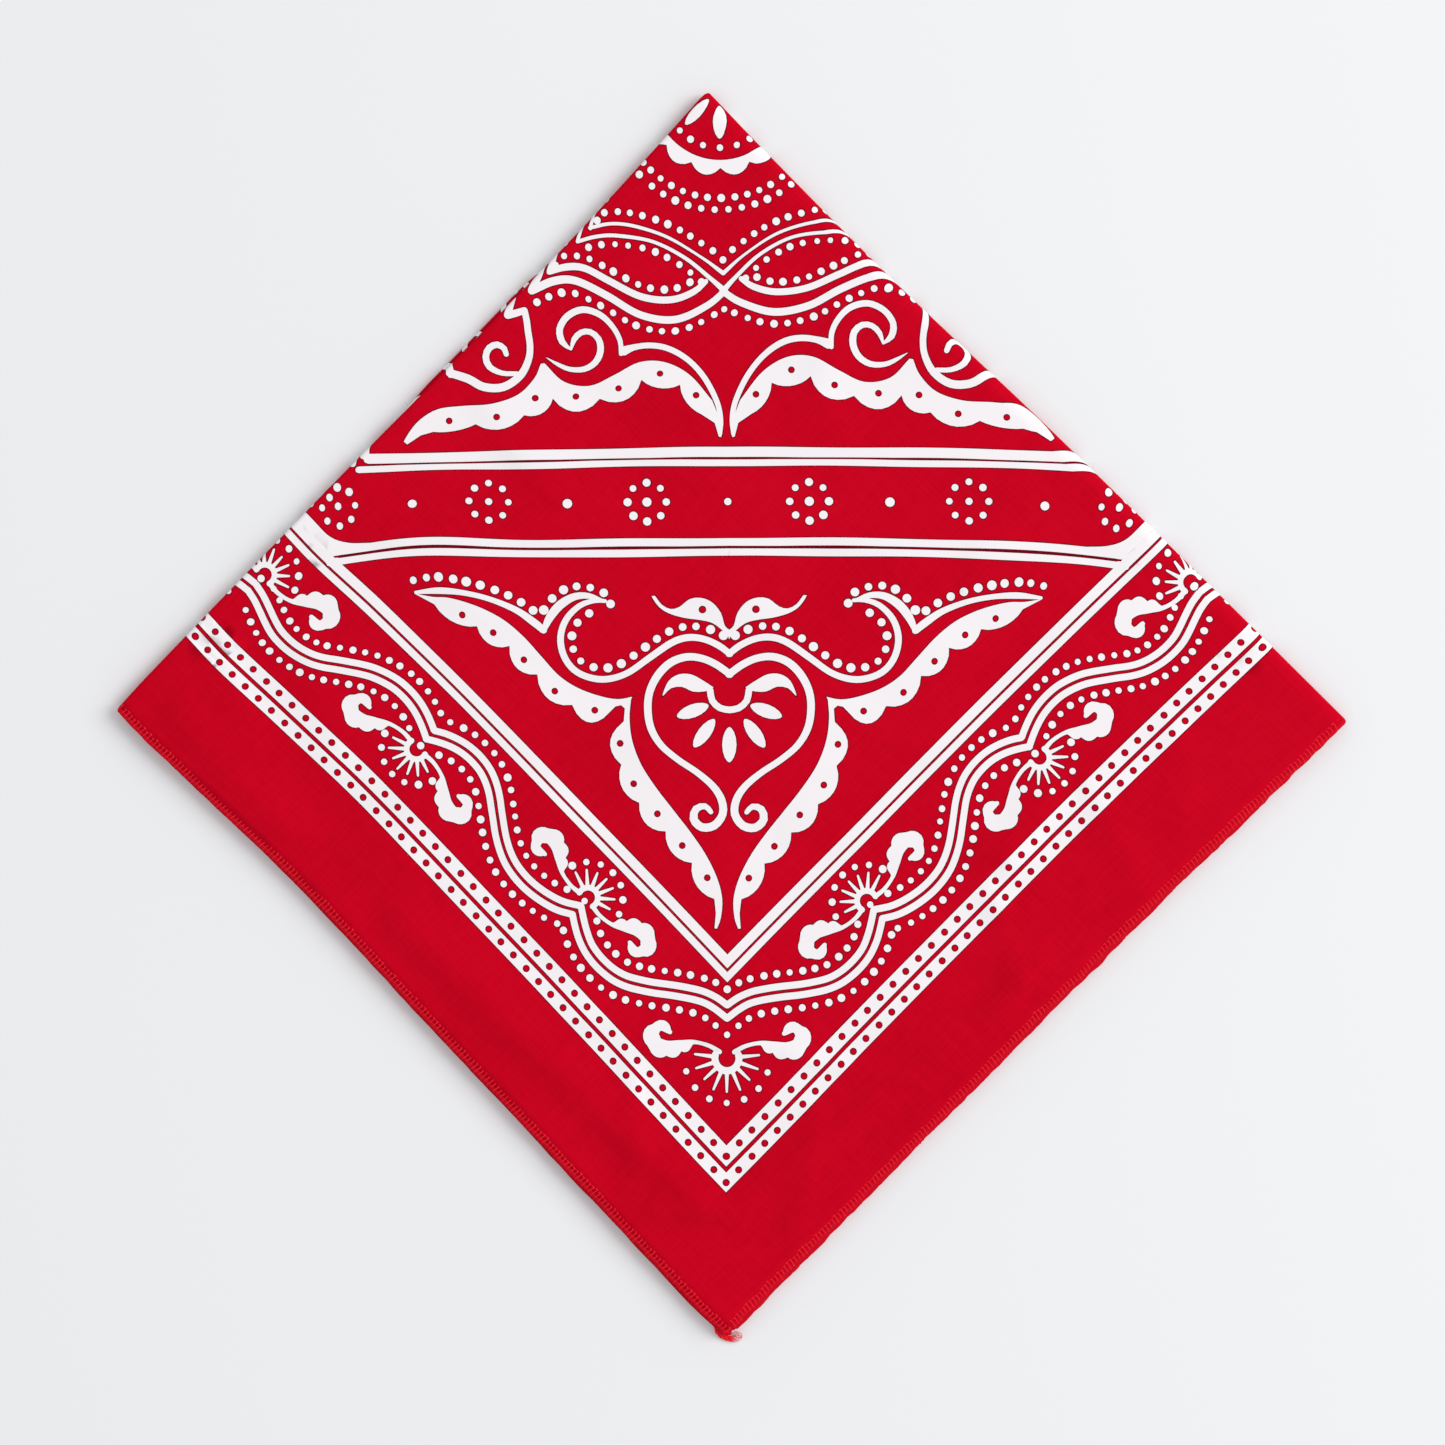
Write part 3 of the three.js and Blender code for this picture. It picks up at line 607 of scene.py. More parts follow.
def burst(centre, angle, leaves, size, rays=7, half=False):
    """angle turns the burst from straight down, in degrees, towards the right. A leaf has a side, a size
    and a tilt. A half burst stands on the middle line, and its other half is mirrored."""
    c, s = math.cos(math.radians(angle)), math.sin(math.radians(angle))

    def placed(points):
        points = np.array(points, float) * size
        return np.column_stack([centre[0] + points[:, 0] * c + points[:, 1] * s,
                                centre[1] - points[:, 0] * s + points[:, 1] * c])

    def out_at(turn, distance):
        return distance * math.cos(turn), distance * math.sin(turn)

    cup = placed([out_at(turn, CUP) for turn in np.linspace(-0.3, math.pi + 0.3, 12)])
    stroke(np.column_stack([cup, np.full(len(cup), 2.0 * size)]))
    for i in range((rays + 1) // 2 if half else rays):
        turn = math.radians(90 + BETWEEN_RAYS * (i - (rays - 1) / 2))
        far = draw.uniform(8.6, 9.8)
        ends = placed([out_at(turn, RAYS_FROM), out_at(turn, far)])
        stroke([(*ends[0], 1.3), (*ends[1], 0.7)])
        if abs(90 - math.degrees(turn)) < WIDEST_DOT_TURN:
            dot(placed([out_at(turn, DOTS_OUT)])[0])
    for side, scale, tilt in leaves:
        x, y = (stroke_outline(CURLED_LEAF, lobes=5, lobe_depth=1.3, plain_share=0.3) * scale).T
        tc, ts = math.cos(math.radians(tilt)), math.sin(math.radians(tilt))
        add(INK, placed(np.column_stack([(x * tc - y * ts) * side, x * ts + y * tc])))


burst((0, 301.5), 0, leaves=((1, 0.84, -25),), size=1.1, rays=9, half=True)
burst((44.7, 252.6), -135, leaves=((1, 1.0, -3), (-1, 1.0, -3)), size=0.9)
dot((45.8, 253.7), 1.2)
burst((99.9, 206.9), 45, leaves=((1, 1.03, 0), (-1, 1.03, 0)), size=0.9)
dot((98.5, 205.7), 1.2)
burst((148.5, 148.5), -135, leaves=((1, 1.1, 0),), size=0.9, half=True)
dot((149.7, 149.7), 1.2)

# The print is not quite square to the folds, so it drifts off them: how far by the place along each fold.
# Inside the frame it is also pulled a little wider than it is long.
LEFT_DRIFT = [(0, 2.3), (60, 2.3), (150, 3.4), (195, 2.2), (215, 1.6), (275, 1.6)]
RIGHT_DRIFT = [(0, -2.8), (60, -2.8), (150, -1.6), (195, 0.4), (215, 1.8), (275, 2.4)]
DRIFT_REACH = 205
PULLED_WIDER, PULL_ENDS, PULL_EASES_OVER = 0.01, 190, 25
# Places where the cloth is pulled a little: x, y, how far in x and in y, and the reach of the pull.
PULLS = [(31, 62, 1.8, 1.8, 22), (21, 88, 1.6, -0.2, 18), (33, 167, -1.3, -1.3, 24),
         (232, 232, 0.8, 0.8, 45), (0, 211, 3.0, 0.4, 26), (211, 0, 0.7, 2.6, 26)]


def on_bed(outline):
    x, y = outline.T
    wider = PULLED_WIDER * (x - y) * smooth((PULL_ENDS - np.maximum(x, y)) / PULL_EASES_OVER)
    moved = np.column_stack([x + wider + read_table(LEFT_DRIFT, y) * np.clip(1 - x / DRIFT_REACH, 0, 1.1),
                             y - wider + read_table(RIGHT_DRIFT, x) * np.clip(1 - y / DRIFT_REACH, 0, 1.1)])
    for at_x, at_y, move_x, move_y, reach in PULLS:
        share = np.exp(-((x - at_x) ** 2 + (y - at_y) ** 2) / reach ** 2)
        moved += share[:, None] * (move_x, move_y)
    return moved


# Its mesh: a closed thin sheet. It is cut flat along every outline of the print, so ink ends in clean
# edges, and then folded and laid. Points of its net nearer than about CLEARANCE to an outline are left out.
CLOTH_END = 273.6
CLEARANCE, MERGED = 0.9, 1e-4
CELLS_IN_A_ROW = 10000
NEIGHBOURS = [CELLS_IN_A_ROW * row + column for row in (-1, 0, 1) for column in (-1, 0, 1)]
OUTSIDE, INSIDE = WALL / 2, WALL / 2 - CLOTH
TUCK_END = SECOND_AXIS - SECOND_ARC - TUCK
# The printed side takes most of the piece's UV map, and the plain side a strip beside it.
PRINTED_UV, PLAIN_UV, PLAIN_UV_FROM = (0.96, 0.99), (0.03, 0.99), 0.965


def spread(start, end, step):
    """Even places from start to end, no further apart than step."""
    return np.linspace(start, end, max(1, math.ceil((end - start) / step)) + 1)


def triangles_between(points, edges, kind):
    """A flat net of triangles over points and edges, and the point that each of the given ones became."""
    net = delaunay_2d_cdt(points.tolist(), edges.tolist(), [], kind, MERGED, True)
    became = np.zeros(len(points), int)
    for i, sources in enumerate(net[3]):
        became[sources] = i
    return np.array([tuple(p) for p in net[0]]), np.array(net[2]), became


def ring_edges(first, count):
    return np.column_stack([first + np.arange(count), first + (np.arange(count) + 1) % count])


def finely(outline, step=3.0):
    """The outline with points added where two lie further apart than step."""
    parts = []
    for start, end in zip(outline, np.roll(outline, -1, axis=0)):
        count = max(1, math.ceil(float(np.linalg.norm(end - start)) / step))
        parts.append(start + (end - start) * (np.arange(count) / count)[:, None])
    return np.vstack(parts)


def within(points, outline):
    """Which points an outline runs round, as many times one way as not the other."""
    start, end = outline, np.roll(outline, -1, axis=0)
    x, y = points[:, :1], points[:, 1:]
    left = (end[:, 0] - start[:, 0]) * (y - start[:, 1]) - (x - start[:, 0]) * (end[:, 1] - start[:, 1])
    rising = (start[:, 1] <= y) & (end[:, 1] > y) & (left > 0)
    falling = (start[:, 1] > y) & (end[:, 1] <= y) & (left < 0)
    area = np.sum(start[:, 0] * end[:, 1] - end[:, 0] * start[:, 1])
    return (rising.sum(axis=1) - falling.sum(axis=1)) * math.copysign(1, area) > 0


def put_in_scene(name, data):
    made = bpy.data.objects.new(name, data)
    bpy.context.collection.objects.link(made)
    return made


def set_vectors(mesh, name, rows):
    """Stores a vector for each vertex, as a point attribute."""
    layer = mesh.attributes.new(name, "FLOAT_VECTOR", "POINT")
    layer.data.foreach_set("vector", rows.astype(np.float32).ravel())


def cloth_sheet(name, x_lines, y_lines, folds, print_outlines, place):
    """A closed thin sheet. Its net has the given lines, all along where folds says so, and is cut along
    the print. place(x, y, off) folds it. The face attribute ink holds what the print has on a face."""
    x_low, x_high, y_low, y_high = x_lines[0], x_lines[-1], y_lines[0], y_lines[-1]
    grid_x, grid_y = np.meshgrid(x_lines, y_lines)
    grid = np.column_stack([grid_x.ravel(), grid_y.ravel()])
    number = np.arange(len(grid)).reshape(grid_x.shape)
    # Lines of the net stay whole where the cloth turns. Elsewhere its points give way to an outline.
    fold_x_end, (fold_y_start, fold_y_end) = folds
    columns = x_lines <= fold_x_end
    rows = (y_lines >= fold_y_start) & (y_lines <= fold_y_end)
    kept = rows[:, None] | columns
    kept[[0, -1]] = True
    kept[:, [0, -1]] = True
    columns[-1] = rows[0] = rows[-1] = True
    edges = [np.column_stack([number[:-1, c], number[1:, c]]) for c in np.flatnonzero(columns)]
    edges += [np.column_stack([number[r, :-1], number[r, 1:]]) for r in np.flatnonzero(rows)]
    drawn = [(kind, finely(outline)) for kind, outline in print_outlines
             if outline[:, 0].max() > x_low and outline[:, 0].min() < x_high
             and outline[:, 1].max() > y_low and outline[:, 1].min() < y_high]
    cells = np.floor(np.vstack([grid, *(outline for _, outline in drawn)]) / CLEARANCE).astype(int)
    cells = cells @ (CELLS_IN_A_ROW, 1)
    taken = (cells[len(grid):, None] + NEIGHBOURS).ravel()
    kept = kept.ravel() | ~np.isin(cells[:len(grid)], taken)
    renumber = np.cumsum(kept) - 1
    points, edges = [grid[kept]], [renumber[np.vstack(edges)]]
    first = int(kept.sum())
    for _, outline in drawn:
        points.append(outline)
        edges.append(ring_edges(first, len(outline)))
        first += len(outline)
    flat, faces, _ = triangles_between(np.vstack(points), np.vstack(edges), 0)
    for axis, ends in enumerate(((x_low, x_high), (y_low, y_high))):
        for end in ends:
            flat[np.abs(flat[:, axis] - end) < 2 * MERGED, axis] = end

    def inside(spots):
        x, y = spots.T
        return (x > x_low) & (x < x_high) & (y > y_low) & (y < y_high)

    # Faces past the rim go. The rest take the print from the last kind of outline that runs round them.
    faces = faces[inside(flat[faces].mean(axis=1))]
    faces = faces[np.argsort(flat[faces][..., 0].mean(axis=1))]
    centre = flat[faces].mean(axis=1)
    ink = np.zeros(len(faces))
    for kind, outline in sorted(drawn, key=lambda shape: shape[0]):
        low, high = outline.min(axis=0), outline.max(axis=0)
        first, last = np.searchsorted(centre[:, 0], (low[0], high[0]))
        close = first + np.flatnonzero((centre[first:last, 1] > low[1]) & (centre[first:last, 1] < high[1]))
        ink[close[within(centre[close], outline)]] = INSIDE_OF[kind]

    # The rim runs where a triangle has no neighbour. The plain side has its own coarser net inside it.
    one_way = {(a, b) for face in faces.tolist() for a, b in zip(face, face[1:] + face[:1])}
    follows = {a: b for a, b in one_way if (b, a) not in one_way}
    rim = [next(iter(follows))]
    while len(rim) < len(follows):
        rim.append(follows[rim[-1]])
    used, faces = np.unique(faces, return_inverse=True)
    faces = faces.reshape(-1, 3)
    rim = np.searchsorted(used, rim)
    outer = flat[used]

    inner_points = np.vstack([outer[rim], grid[inside(grid)]])
    inner, inner_faces, became = triangles_between(inner_points, ring_edges(0, len(rim)), 1)
    inner_rim = became[:len(rim)] + len(outer)
    next_rim, next_inner = np.roll(rim, -1), np.roll(inner_rim, -1)
    rim_faces = np.vstack([np.column_stack([rim, inner_rim, next_rim]),
                           np.column_stack([next_rim, inner_rim, next_inner])])
    rim_faces = rim_faces[(rim_faces != np.roll(rim_faces, 1, axis=1)).all(axis=1)]
    all_faces = np.vstack([faces, inner_faces[:, ::-1] + len(outer), rim_faces])
    spots = np.vstack([place(*outer.T, OUTSIDE), place(*inner.T, INSIDE)]) * MM

    a, b, c = (spots[all_faces[:, i]] for i in range(3))
    if np.sum(a * np.cross(b, c)) < 0:
        all_faces = all_faces[:, ::-1]
    mesh = bpy.data.meshes.new(name)
    mesh.from_pydata(spots.tolist(), [], all_faces.tolist())
    mesh.polygons.foreach_set("use_smooth", np.ones(len(all_faces), bool))
    ink = np.concatenate([ink, np.zeros(len(all_faces) - len(ink))])
    mesh.attributes.new("ink", "FLOAT", "FACE").data.foreach_set("value", ink.astype(np.float32))
    cloth = np.vstack([outer, inner])
    set_vectors(mesh, "cloth", np.column_stack([cloth, np.zeros(len(cloth))]) * MM)
    share = (cloth - (x_low, y_low)) / (x_high - x_low, y_high - y_low)
    printed_side = (np.arange(len(cloth)) < len(outer))[:, None]
    uv = np.where(printed_side, share * PRINTED_UV, share * PLAIN_UV + (PLAIN_UV_FROM, 0))
    uv = uv[all_faces.ravel()].astype(np.float32)
    mesh.uv_layers.new(name="OFBake").data.foreach_set("uv", uv.ravel())
    mesh.update()
    return put_in_scene(name, mesh)


def on_top(x, y, off):
    return folded(across_at(x), along_at(y), off)


NET, FINE_NET, COARSE_NET = 3, 1.5, 5
first_turn_lines = spread(FIRST_AXIS - FIRST_ARC, FIRST_AXIS, FIRST_ARC / 8)
second_turn_lines = spread(SECOND_AXIS - SECOND_ARC, SECOND_AXIS, SECOND_ARC / 12)
x_lines = np.concatenate([first_turn_lines, spread(FIRST_AXIS, CLOTH_END, NET)[1:]])
y_lines = np.concatenate([spread(TUCK_END, second_turn_lines[0], FINE_NET)[:-1], second_turn_lines,
                          spread(SECOND_AXIS, CLOTH_END, NET)[1:]])
JUST_PAST = 0.01
top_print = [(kind, on_bed(outline)) for kind, outline in shapes]
top_folds = (FIRST_AXIS + JUST_PAST, (TUCK_END, SECOND_AXIS + JUST_PAST))
top_cloth = cloth_sheet("printed_top_quarter", x_lines, y_lines, top_folds, top_print, on_top)

# Its cotton: plain-woven, with yarns both ways that are uneven in colour, and the print in ink. Sums in a
# material are written on the sockets of its nodes.


class Value:
    """A socket in a node tree, on which sums are written as plain expressions."""

    def __init__(self, tree, socket):
        self.tree, self.socket = tree, socket

    def __add__(self, other):
        return self.tree.maths("ADD", self, other)

    def __radd__(self, other):
        return self.tree.maths("ADD", other, self)

    def __sub__(self, other):
        return self.tree.maths("SUBTRACT", self, other)

    def __rsub__(self, other):
        return self.tree.maths("SUBTRACT", other, self)

    def __mul__(self, other):
        return self.tree.maths("MULTIPLY", self, other)

    def __rmul__(self, other):
        return self.tree.maths("MULTIPLY", other, self)

    def __gt__(self, other):
        return self.tree.maths("GREATER_THAN", self, other)

    def __lt__(self, other):
        return self.tree.maths("LESS_THAN", self, other)


class Nodes:
    """The nodes of one material or geometry tree. A node takes its type, its settings, and its sockets'
    values. The values in a list all go to the same socket."""

    def __init__(self, tree):
        self.tree = tree

    def maths(self, operation, *values):
        return self.node("ShaderNodeMath", {"operation": operation}, dict(enumerate(values)))

    def node(self, kind, settings, sockets, output=0):
        made = self.tree.nodes.new(kind)
        for name, value in settings.items():
            setattr(made, name, value)
        for name, value in sockets.items():
            if isinstance(value, (Value, list)):
                for one in value if isinstance(value, list) else [value]:
                    self.tree.links.new(one.socket, made.inputs[name])
            else:
                made.inputs[name].default_value = value
        return Value(self, made.outputs[output]) if len(made.outputs) else made

    def mix(self, share, first, second):
        """A colour between two others, by the Mix node's sockets for colours."""
        return self.node("ShaderNodeMix", {"data_type": "RGBA"}, {0: share, 6: first, 7: second}, output=2)

    def cloth_surface(self, colour, roughness, shine, height, bump_share, bump_height):
        """Ends a material as a dull surface of the given colour, with fine relief."""
        bump = self.node("ShaderNodeBump", {}, {
            "Strength": bump_share, "Distance": bump_height, "Height": height})
        shader = self.node("ShaderNodeBsdfPrincipled", {}, {
            "Base Color": colour, "Roughness": roughness, "Specular IOR Level": shine, "Normal": bump})
        self.node("ShaderNodeOutputMaterial", {}, {"Surface": shader})


def new_material(name):
    material = bpy.data.materials.new(name)
    material.use_nodes = True
    material.node_tree.nodes.clear()
    return material, Nodes(material.node_tree)


RED_COTTON, RED_WORN = (0.52, 0.0006, 0.0115, 1), (0.62, 0.0016, 0.0165, 1)
WHITE_INK, DARK_LINE = (0.90, 0.85, 0.865, 1), (0.15, 0.002, 0.009, 1)
YARN, STREAK, SLUB, PATCH, SHADE = 0.00042, 0.0009, 0.0011, 0.004, 0.05


def cotton(name, printed):
    """Cotton by its place in the flat cloth. Its print, if any, is read from the face attribute ink."""
    material, nodes = new_material(name)
    place = nodes.node("ShaderNodeAttribute", {"attribute_name": "cloth"}, {}, output=1)
    split = nodes.node("ShaderNodeSeparateXYZ", {}, {0: place})
    across, along = split, Value(nodes, split.socket.node.outputs[1])

    def cloudy(size, stretch=(1, 1, 1)):
        spot = nodes.node("ShaderNodeVectorMath", {"operation": "MULTIPLY"}, {0: place, 1: stretch})
        return nodes.node("ShaderNodeTexNoise", {}, {"Vector": spot, "Scale": 1 / size, "Detail": 2.0})

    warp, weft = (nodes.maths("SINE", way * (2 * math.pi / YARN)) for way in (across, along))
    yarns = warp * weft
    streaks = cloudy(STREAK, (1, 0.06, 1)) + cloudy(STREAK, (0.06, 1, 1))
    mottle = (streaks - 1.0) * 0.9 + (cloudy(PATCH) - 0.5) * 0.5 + (cloudy(SHADE) - 0.5) * 0.9
    colour = nodes.mix(nodes.maths("MAXIMUM", 0.35 + mottle, 0.0), RED_COTTON, RED_WORN)
    if printed:
        ink = nodes.node("ShaderNodeAttribute", {"attribute_name": "ink"}, {}, output=2)
        colour = nodes.mix(ink > 0.5, colour, WHITE_INK)
        colour = nodes.mix(ink < -0.5, colour, DARK_LINE)
    height = yarns * 0.5 + cloudy(SLUB, (1, 0.12, 1)) + cloudy(SLUB, (0.12, 1, 1))
    nodes.cloth_surface(colour, 0.82 + 0.1 * cloudy(0.0006), 0.02, height, 0.25, 0.00008)
    return material


cotton_print = cotton("printed_cotton", True)
top_cloth.data.materials.append(cotton_print)
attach(top_cloth, "root")
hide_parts("top_quarter")

# The three quarters under it, of the same cotton. The lowest carries on round the second fold, with its
# print on the underside. Between it and the top one the cloth is doubled back on itself, plain side out.
# They lie loose on each other, joined only by the folds.
TUCK_SEAM = 0.05
TURN_START = SECOND_AXIS - SECOND_ARC
NO_FOLD = (1, 0)


def below_fold(y):
    """Where y, which runs on from the top quarter past the second fold, is along the lower side."""
    return -(TURN_START - y + QUARTER_TURN)


def underneath(x, y, off):
    return folded(across_at(x), below_fold(y), off)


under_lines = TUCK_END - TUCK_SEAM - (spread(SECOND_AXIS + TUCK, CLOTH_END, NET)[::-1] - SECOND_AXIS - TUCK)
under_print = [(kind, on_bed(outline * (1, -1))) for kind, outline in shapes]
under_cloth = cloth_sheet("printed_under_quarter", x_lines, under_lines, (FIRST_AXIS + JUST_PAST, NO_FOLD),
                          under_print, underneath)
under_cloth.data.materials.append(cotton_print)
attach(under_cloth, "root")
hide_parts("hidden_layers")


def doubled(x, y, off):
    """x runs in from the turn of the first fold, and y from the lower middle quarter to the upper one."""
    along = np.where(y < TURN_START, below_fold(y), along_at(np.maximum(y, TURN_START)))
    return folded(-(x - FIRST_AXIS + QUARTER_TURN), along, off)


doubled_x = spread(FIRST_AXIS + TUCK_SEAM, CLOTH_END, COARSE_NET)
upper_lines = spread(SECOND_AXIS, CLOTH_END, COARSE_NET)
lower_lines = TURN_START - (upper_lines[::-1] - SECOND_AXIS)
doubled_y = np.concatenate([lower_lines[:-1], second_turn_lines, upper_lines[1:]])
doubled_cloth = cloth_sheet("doubled_quarters", doubled_x, doubled_y, (0, (TURN_START, SECOND_AXIS)), [],
                            doubled)
cotton_back = cotton("printed_cotton_inside", False)
doubled_cloth.data.materials.append(cotton_back)
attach(doubled_cloth, "root")
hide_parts("hidden_layers")

# The hem: the edge of the cloth rolled under into an uneven bead, of the same cotton rubbed a little
# brighter. One run lies on each side of the square and is folded once with the cloth. Overlock stitches
# hold it.
HEM_MIDDLE, HEM_HALF, HEM_RISE = 273.75, 1.2, 0.5
HEM_ENDS_OVER, HEM_TIP = 1.3, 0.02
HEM_CORNERS = 14
TURN_STATIONS = 11
HEM_RED = (0.60, 0.0015, 0.014, 1)
HEM_GRAIN, HEM_PATCH = 1800.0, 260.0
hem_draw = random.Random(11)


def uneven(places, step, size):
    """A smooth chance value for each place, between -size and size, that turns about once in a step."""
    at = np.arange(places.min() - step, places.max() + 2 * step, step)
    return read_table([(p, hem_draw.uniform(-size, size)) for p in at], places)


def hem_material():
    material, nodes = new_material("overlocked_hem")
    place = nodes.node("ShaderNodeAttribute", {"attribute_name": "cloth"}, {}, output=1)
    grain = nodes.node("ShaderNodeTexNoise", {}, {"Vector": place, "Scale": HEM_GRAIN, "Detail": 3.0})
    patches = nodes.node("ShaderNodeTexNoise", {}, {"Vector": place, "Scale": HEM_PATCH})
    colour = nodes.mix(grain * 0.6 + patches * 0.9 - 0.35, RED_COTTON, HEM_RED)
    nodes.cloth_surface(colour, 0.85 + 0.08 * patches, 0.1, grain, 0.5, 0.0001)
    return material


hem_cotton = hem_material()
stitch_runs = []


def rolled_hem(name, stations, length, place, rough):
    """A bead along the hem, with round ends. stations are where it runs along the cloth, and length how
    far along each is. rough is how much its short waves stray and swell."""
    turn = np.arange(HEM_CORNERS) * 2 * math.pi / HEM_CORNERS
    from_end = np.minimum(length - length[0], length[-1] - length)
    shrink = np.sqrt(np.clip(1 - (1 - np.clip(from_end / HEM_ENDS_OVER, HEM_TIP, 1)) ** 2, 0, 1))
    shift = (uneven(length, 9, 0.10) + uneven(length, 3.1, 0.06 + rough)) * shrink
    wide = HEM_HALF * (1 + uneven(length, 5, 0.08) + uneven(length, 2.3, rough / 2)) * shrink
    reach = HEM_MIDDLE + shift[:, None] + wide[:, None] * np.cos(turn)
    off = HEM_RISE * shrink[:, None] * np.sin(turn)
    spots = place(stations[:, None], reach, off).reshape(-1, 3) * MM
    count, corners = len(stations), HEM_CORNERS
    row, column = np.meshgrid(np.arange(count - 1), np.arange(corners), indexing="ij")
    one, two = row * corners + column, row * corners + (column + 1) % corners
    sides = np.stack([one, two, two + corners, one + corners], axis=-1).reshape(-1, 4).tolist()
    ends = [list(range(corners))[::-1], list(range((count - 1) * corners, count * corners))]
    mesh = bpy.data.meshes.new(name)
    mesh.from_pydata(spots.tolist(), [], sides + ends)
    corner = spots[np.array(sides)]
    volume = np.sum(corner[:, 0] * np.cross(corner[:, 1], corner[:, 2])) + np.sum(
        corner[:, 0] * np.cross(corner[:, 2], corner[:, 3]))
    if volume < 0:
        mesh.flip_normals()
    mesh.polygons.foreach_set("use_smooth", [True] * len(sides) + [False] * 2)
    along = np.broadcast_to(length[:, None], reach.shape)
    around = np.broadcast_to(HEM_MIDDLE + HEM_HALF * turn, reach.shape)
    set_vectors(mesh, "cloth", np.stack([along, around, 0 * along], axis=-1) * MM)
    mesh.update()
    piece = put_in_scene(name, mesh)
    mesh.materials.append(hem_cotton)
    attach(piece, "root")
    stitch_runs.append((stations, length, place, shift))
    return piece


def both_ways(parameter, axis, end, turn_length):
    """Stations from one end of a hem, through the turn of its fold, to the other, and how far each is."""
    flat = spread(axis, end, FINE_NET)
    ahead = parameter(flat)
    turn = np.linspace(-QUARTER_TURN, QUARTER_TURN, TURN_STATIONS)[1:-1]
    turn_run = np.linspace(0, turn_length, TURN_STATIONS)[1:-1]
    run = flat - flat[0]
    stations = np.concatenate([-ahead[::-1], turn, ahead])
    length = np.concatenate([-run[::-1], turn_run, run + turn_length])
    return stations, length


LEFT_HEM_END, RIGHT_HEM_END = 274.9, 272.7
left = both_ways(across_at, FIRST_AXIS, LEFT_HEM_END, 2)
right = both_ways(along_at, SECOND_AXIS, RIGHT_HEM_END, 8)
# Each hem: where it runs, how a place on it is folded, and how rough it is.
hems = {
    "hem_left_upper": (left, lambda across, reach, off: folded(across, along_at(reach), off), 0.03),
    "hem_left_lower": (left, lambda across, reach, off: folded(across, -along_at(reach), off), 0.0),
    "hem_right_outer": (right, lambda along, reach, off: folded(across_at(reach), along, off), 0.22),
    "hem_right_inner": (right, lambda along, reach, off: folded(-across_at(reach), along, off), 0.16),
}
for name, ((stations, length), place, rough) in hems.items():
    rolled_hem("rolled_" + name, stations, length, place, rough)
    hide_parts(name)

# The overlock stitches: soft spun thread, red and brighter than the cotton. Each crosses the rolled edge
# at a slant, from a line of needle stitches in the cloth to the outer side of the bead, all along the
# four runs of hem.
STITCH_PITCH, STITCHES_FROM_END = 1.4, 1
UNDERSIDE_SUNK, FACES_DOWN = -0.16, -0.3
THREAD_RED = (0.93, 0.012, 0.027, 1)
THREAD_PALE = (0.88, 0.50, 0.51, 1)
FIBRES = 2600.0


def thread_material():
    """The thread, red to pale pink by the point attribute pale."""
    material, nodes = new_material("overlock_thread")
    place = nodes.node("ShaderNodeTexCoord", {}, {}, output=3)
    fibres = nodes.node("ShaderNodeTexNoise", {}, {"Vector": place, "Scale": FIBRES, "Detail": 2.0})
    pale = nodes.node("ShaderNodeAttribute", {"attribute_name": "pale"}, {}, output=2)
    colour = nodes.mix(0.5 * fibres - 0.1, THREAD_RED, RED_COTTON)
    colour = nodes.mix(pale, colour, THREAD_PALE)
    nodes.cloth_surface(colour, 0.7 + 0.2 * fibres, 0.15, fibres, 0.4, 0.00006)
    return material


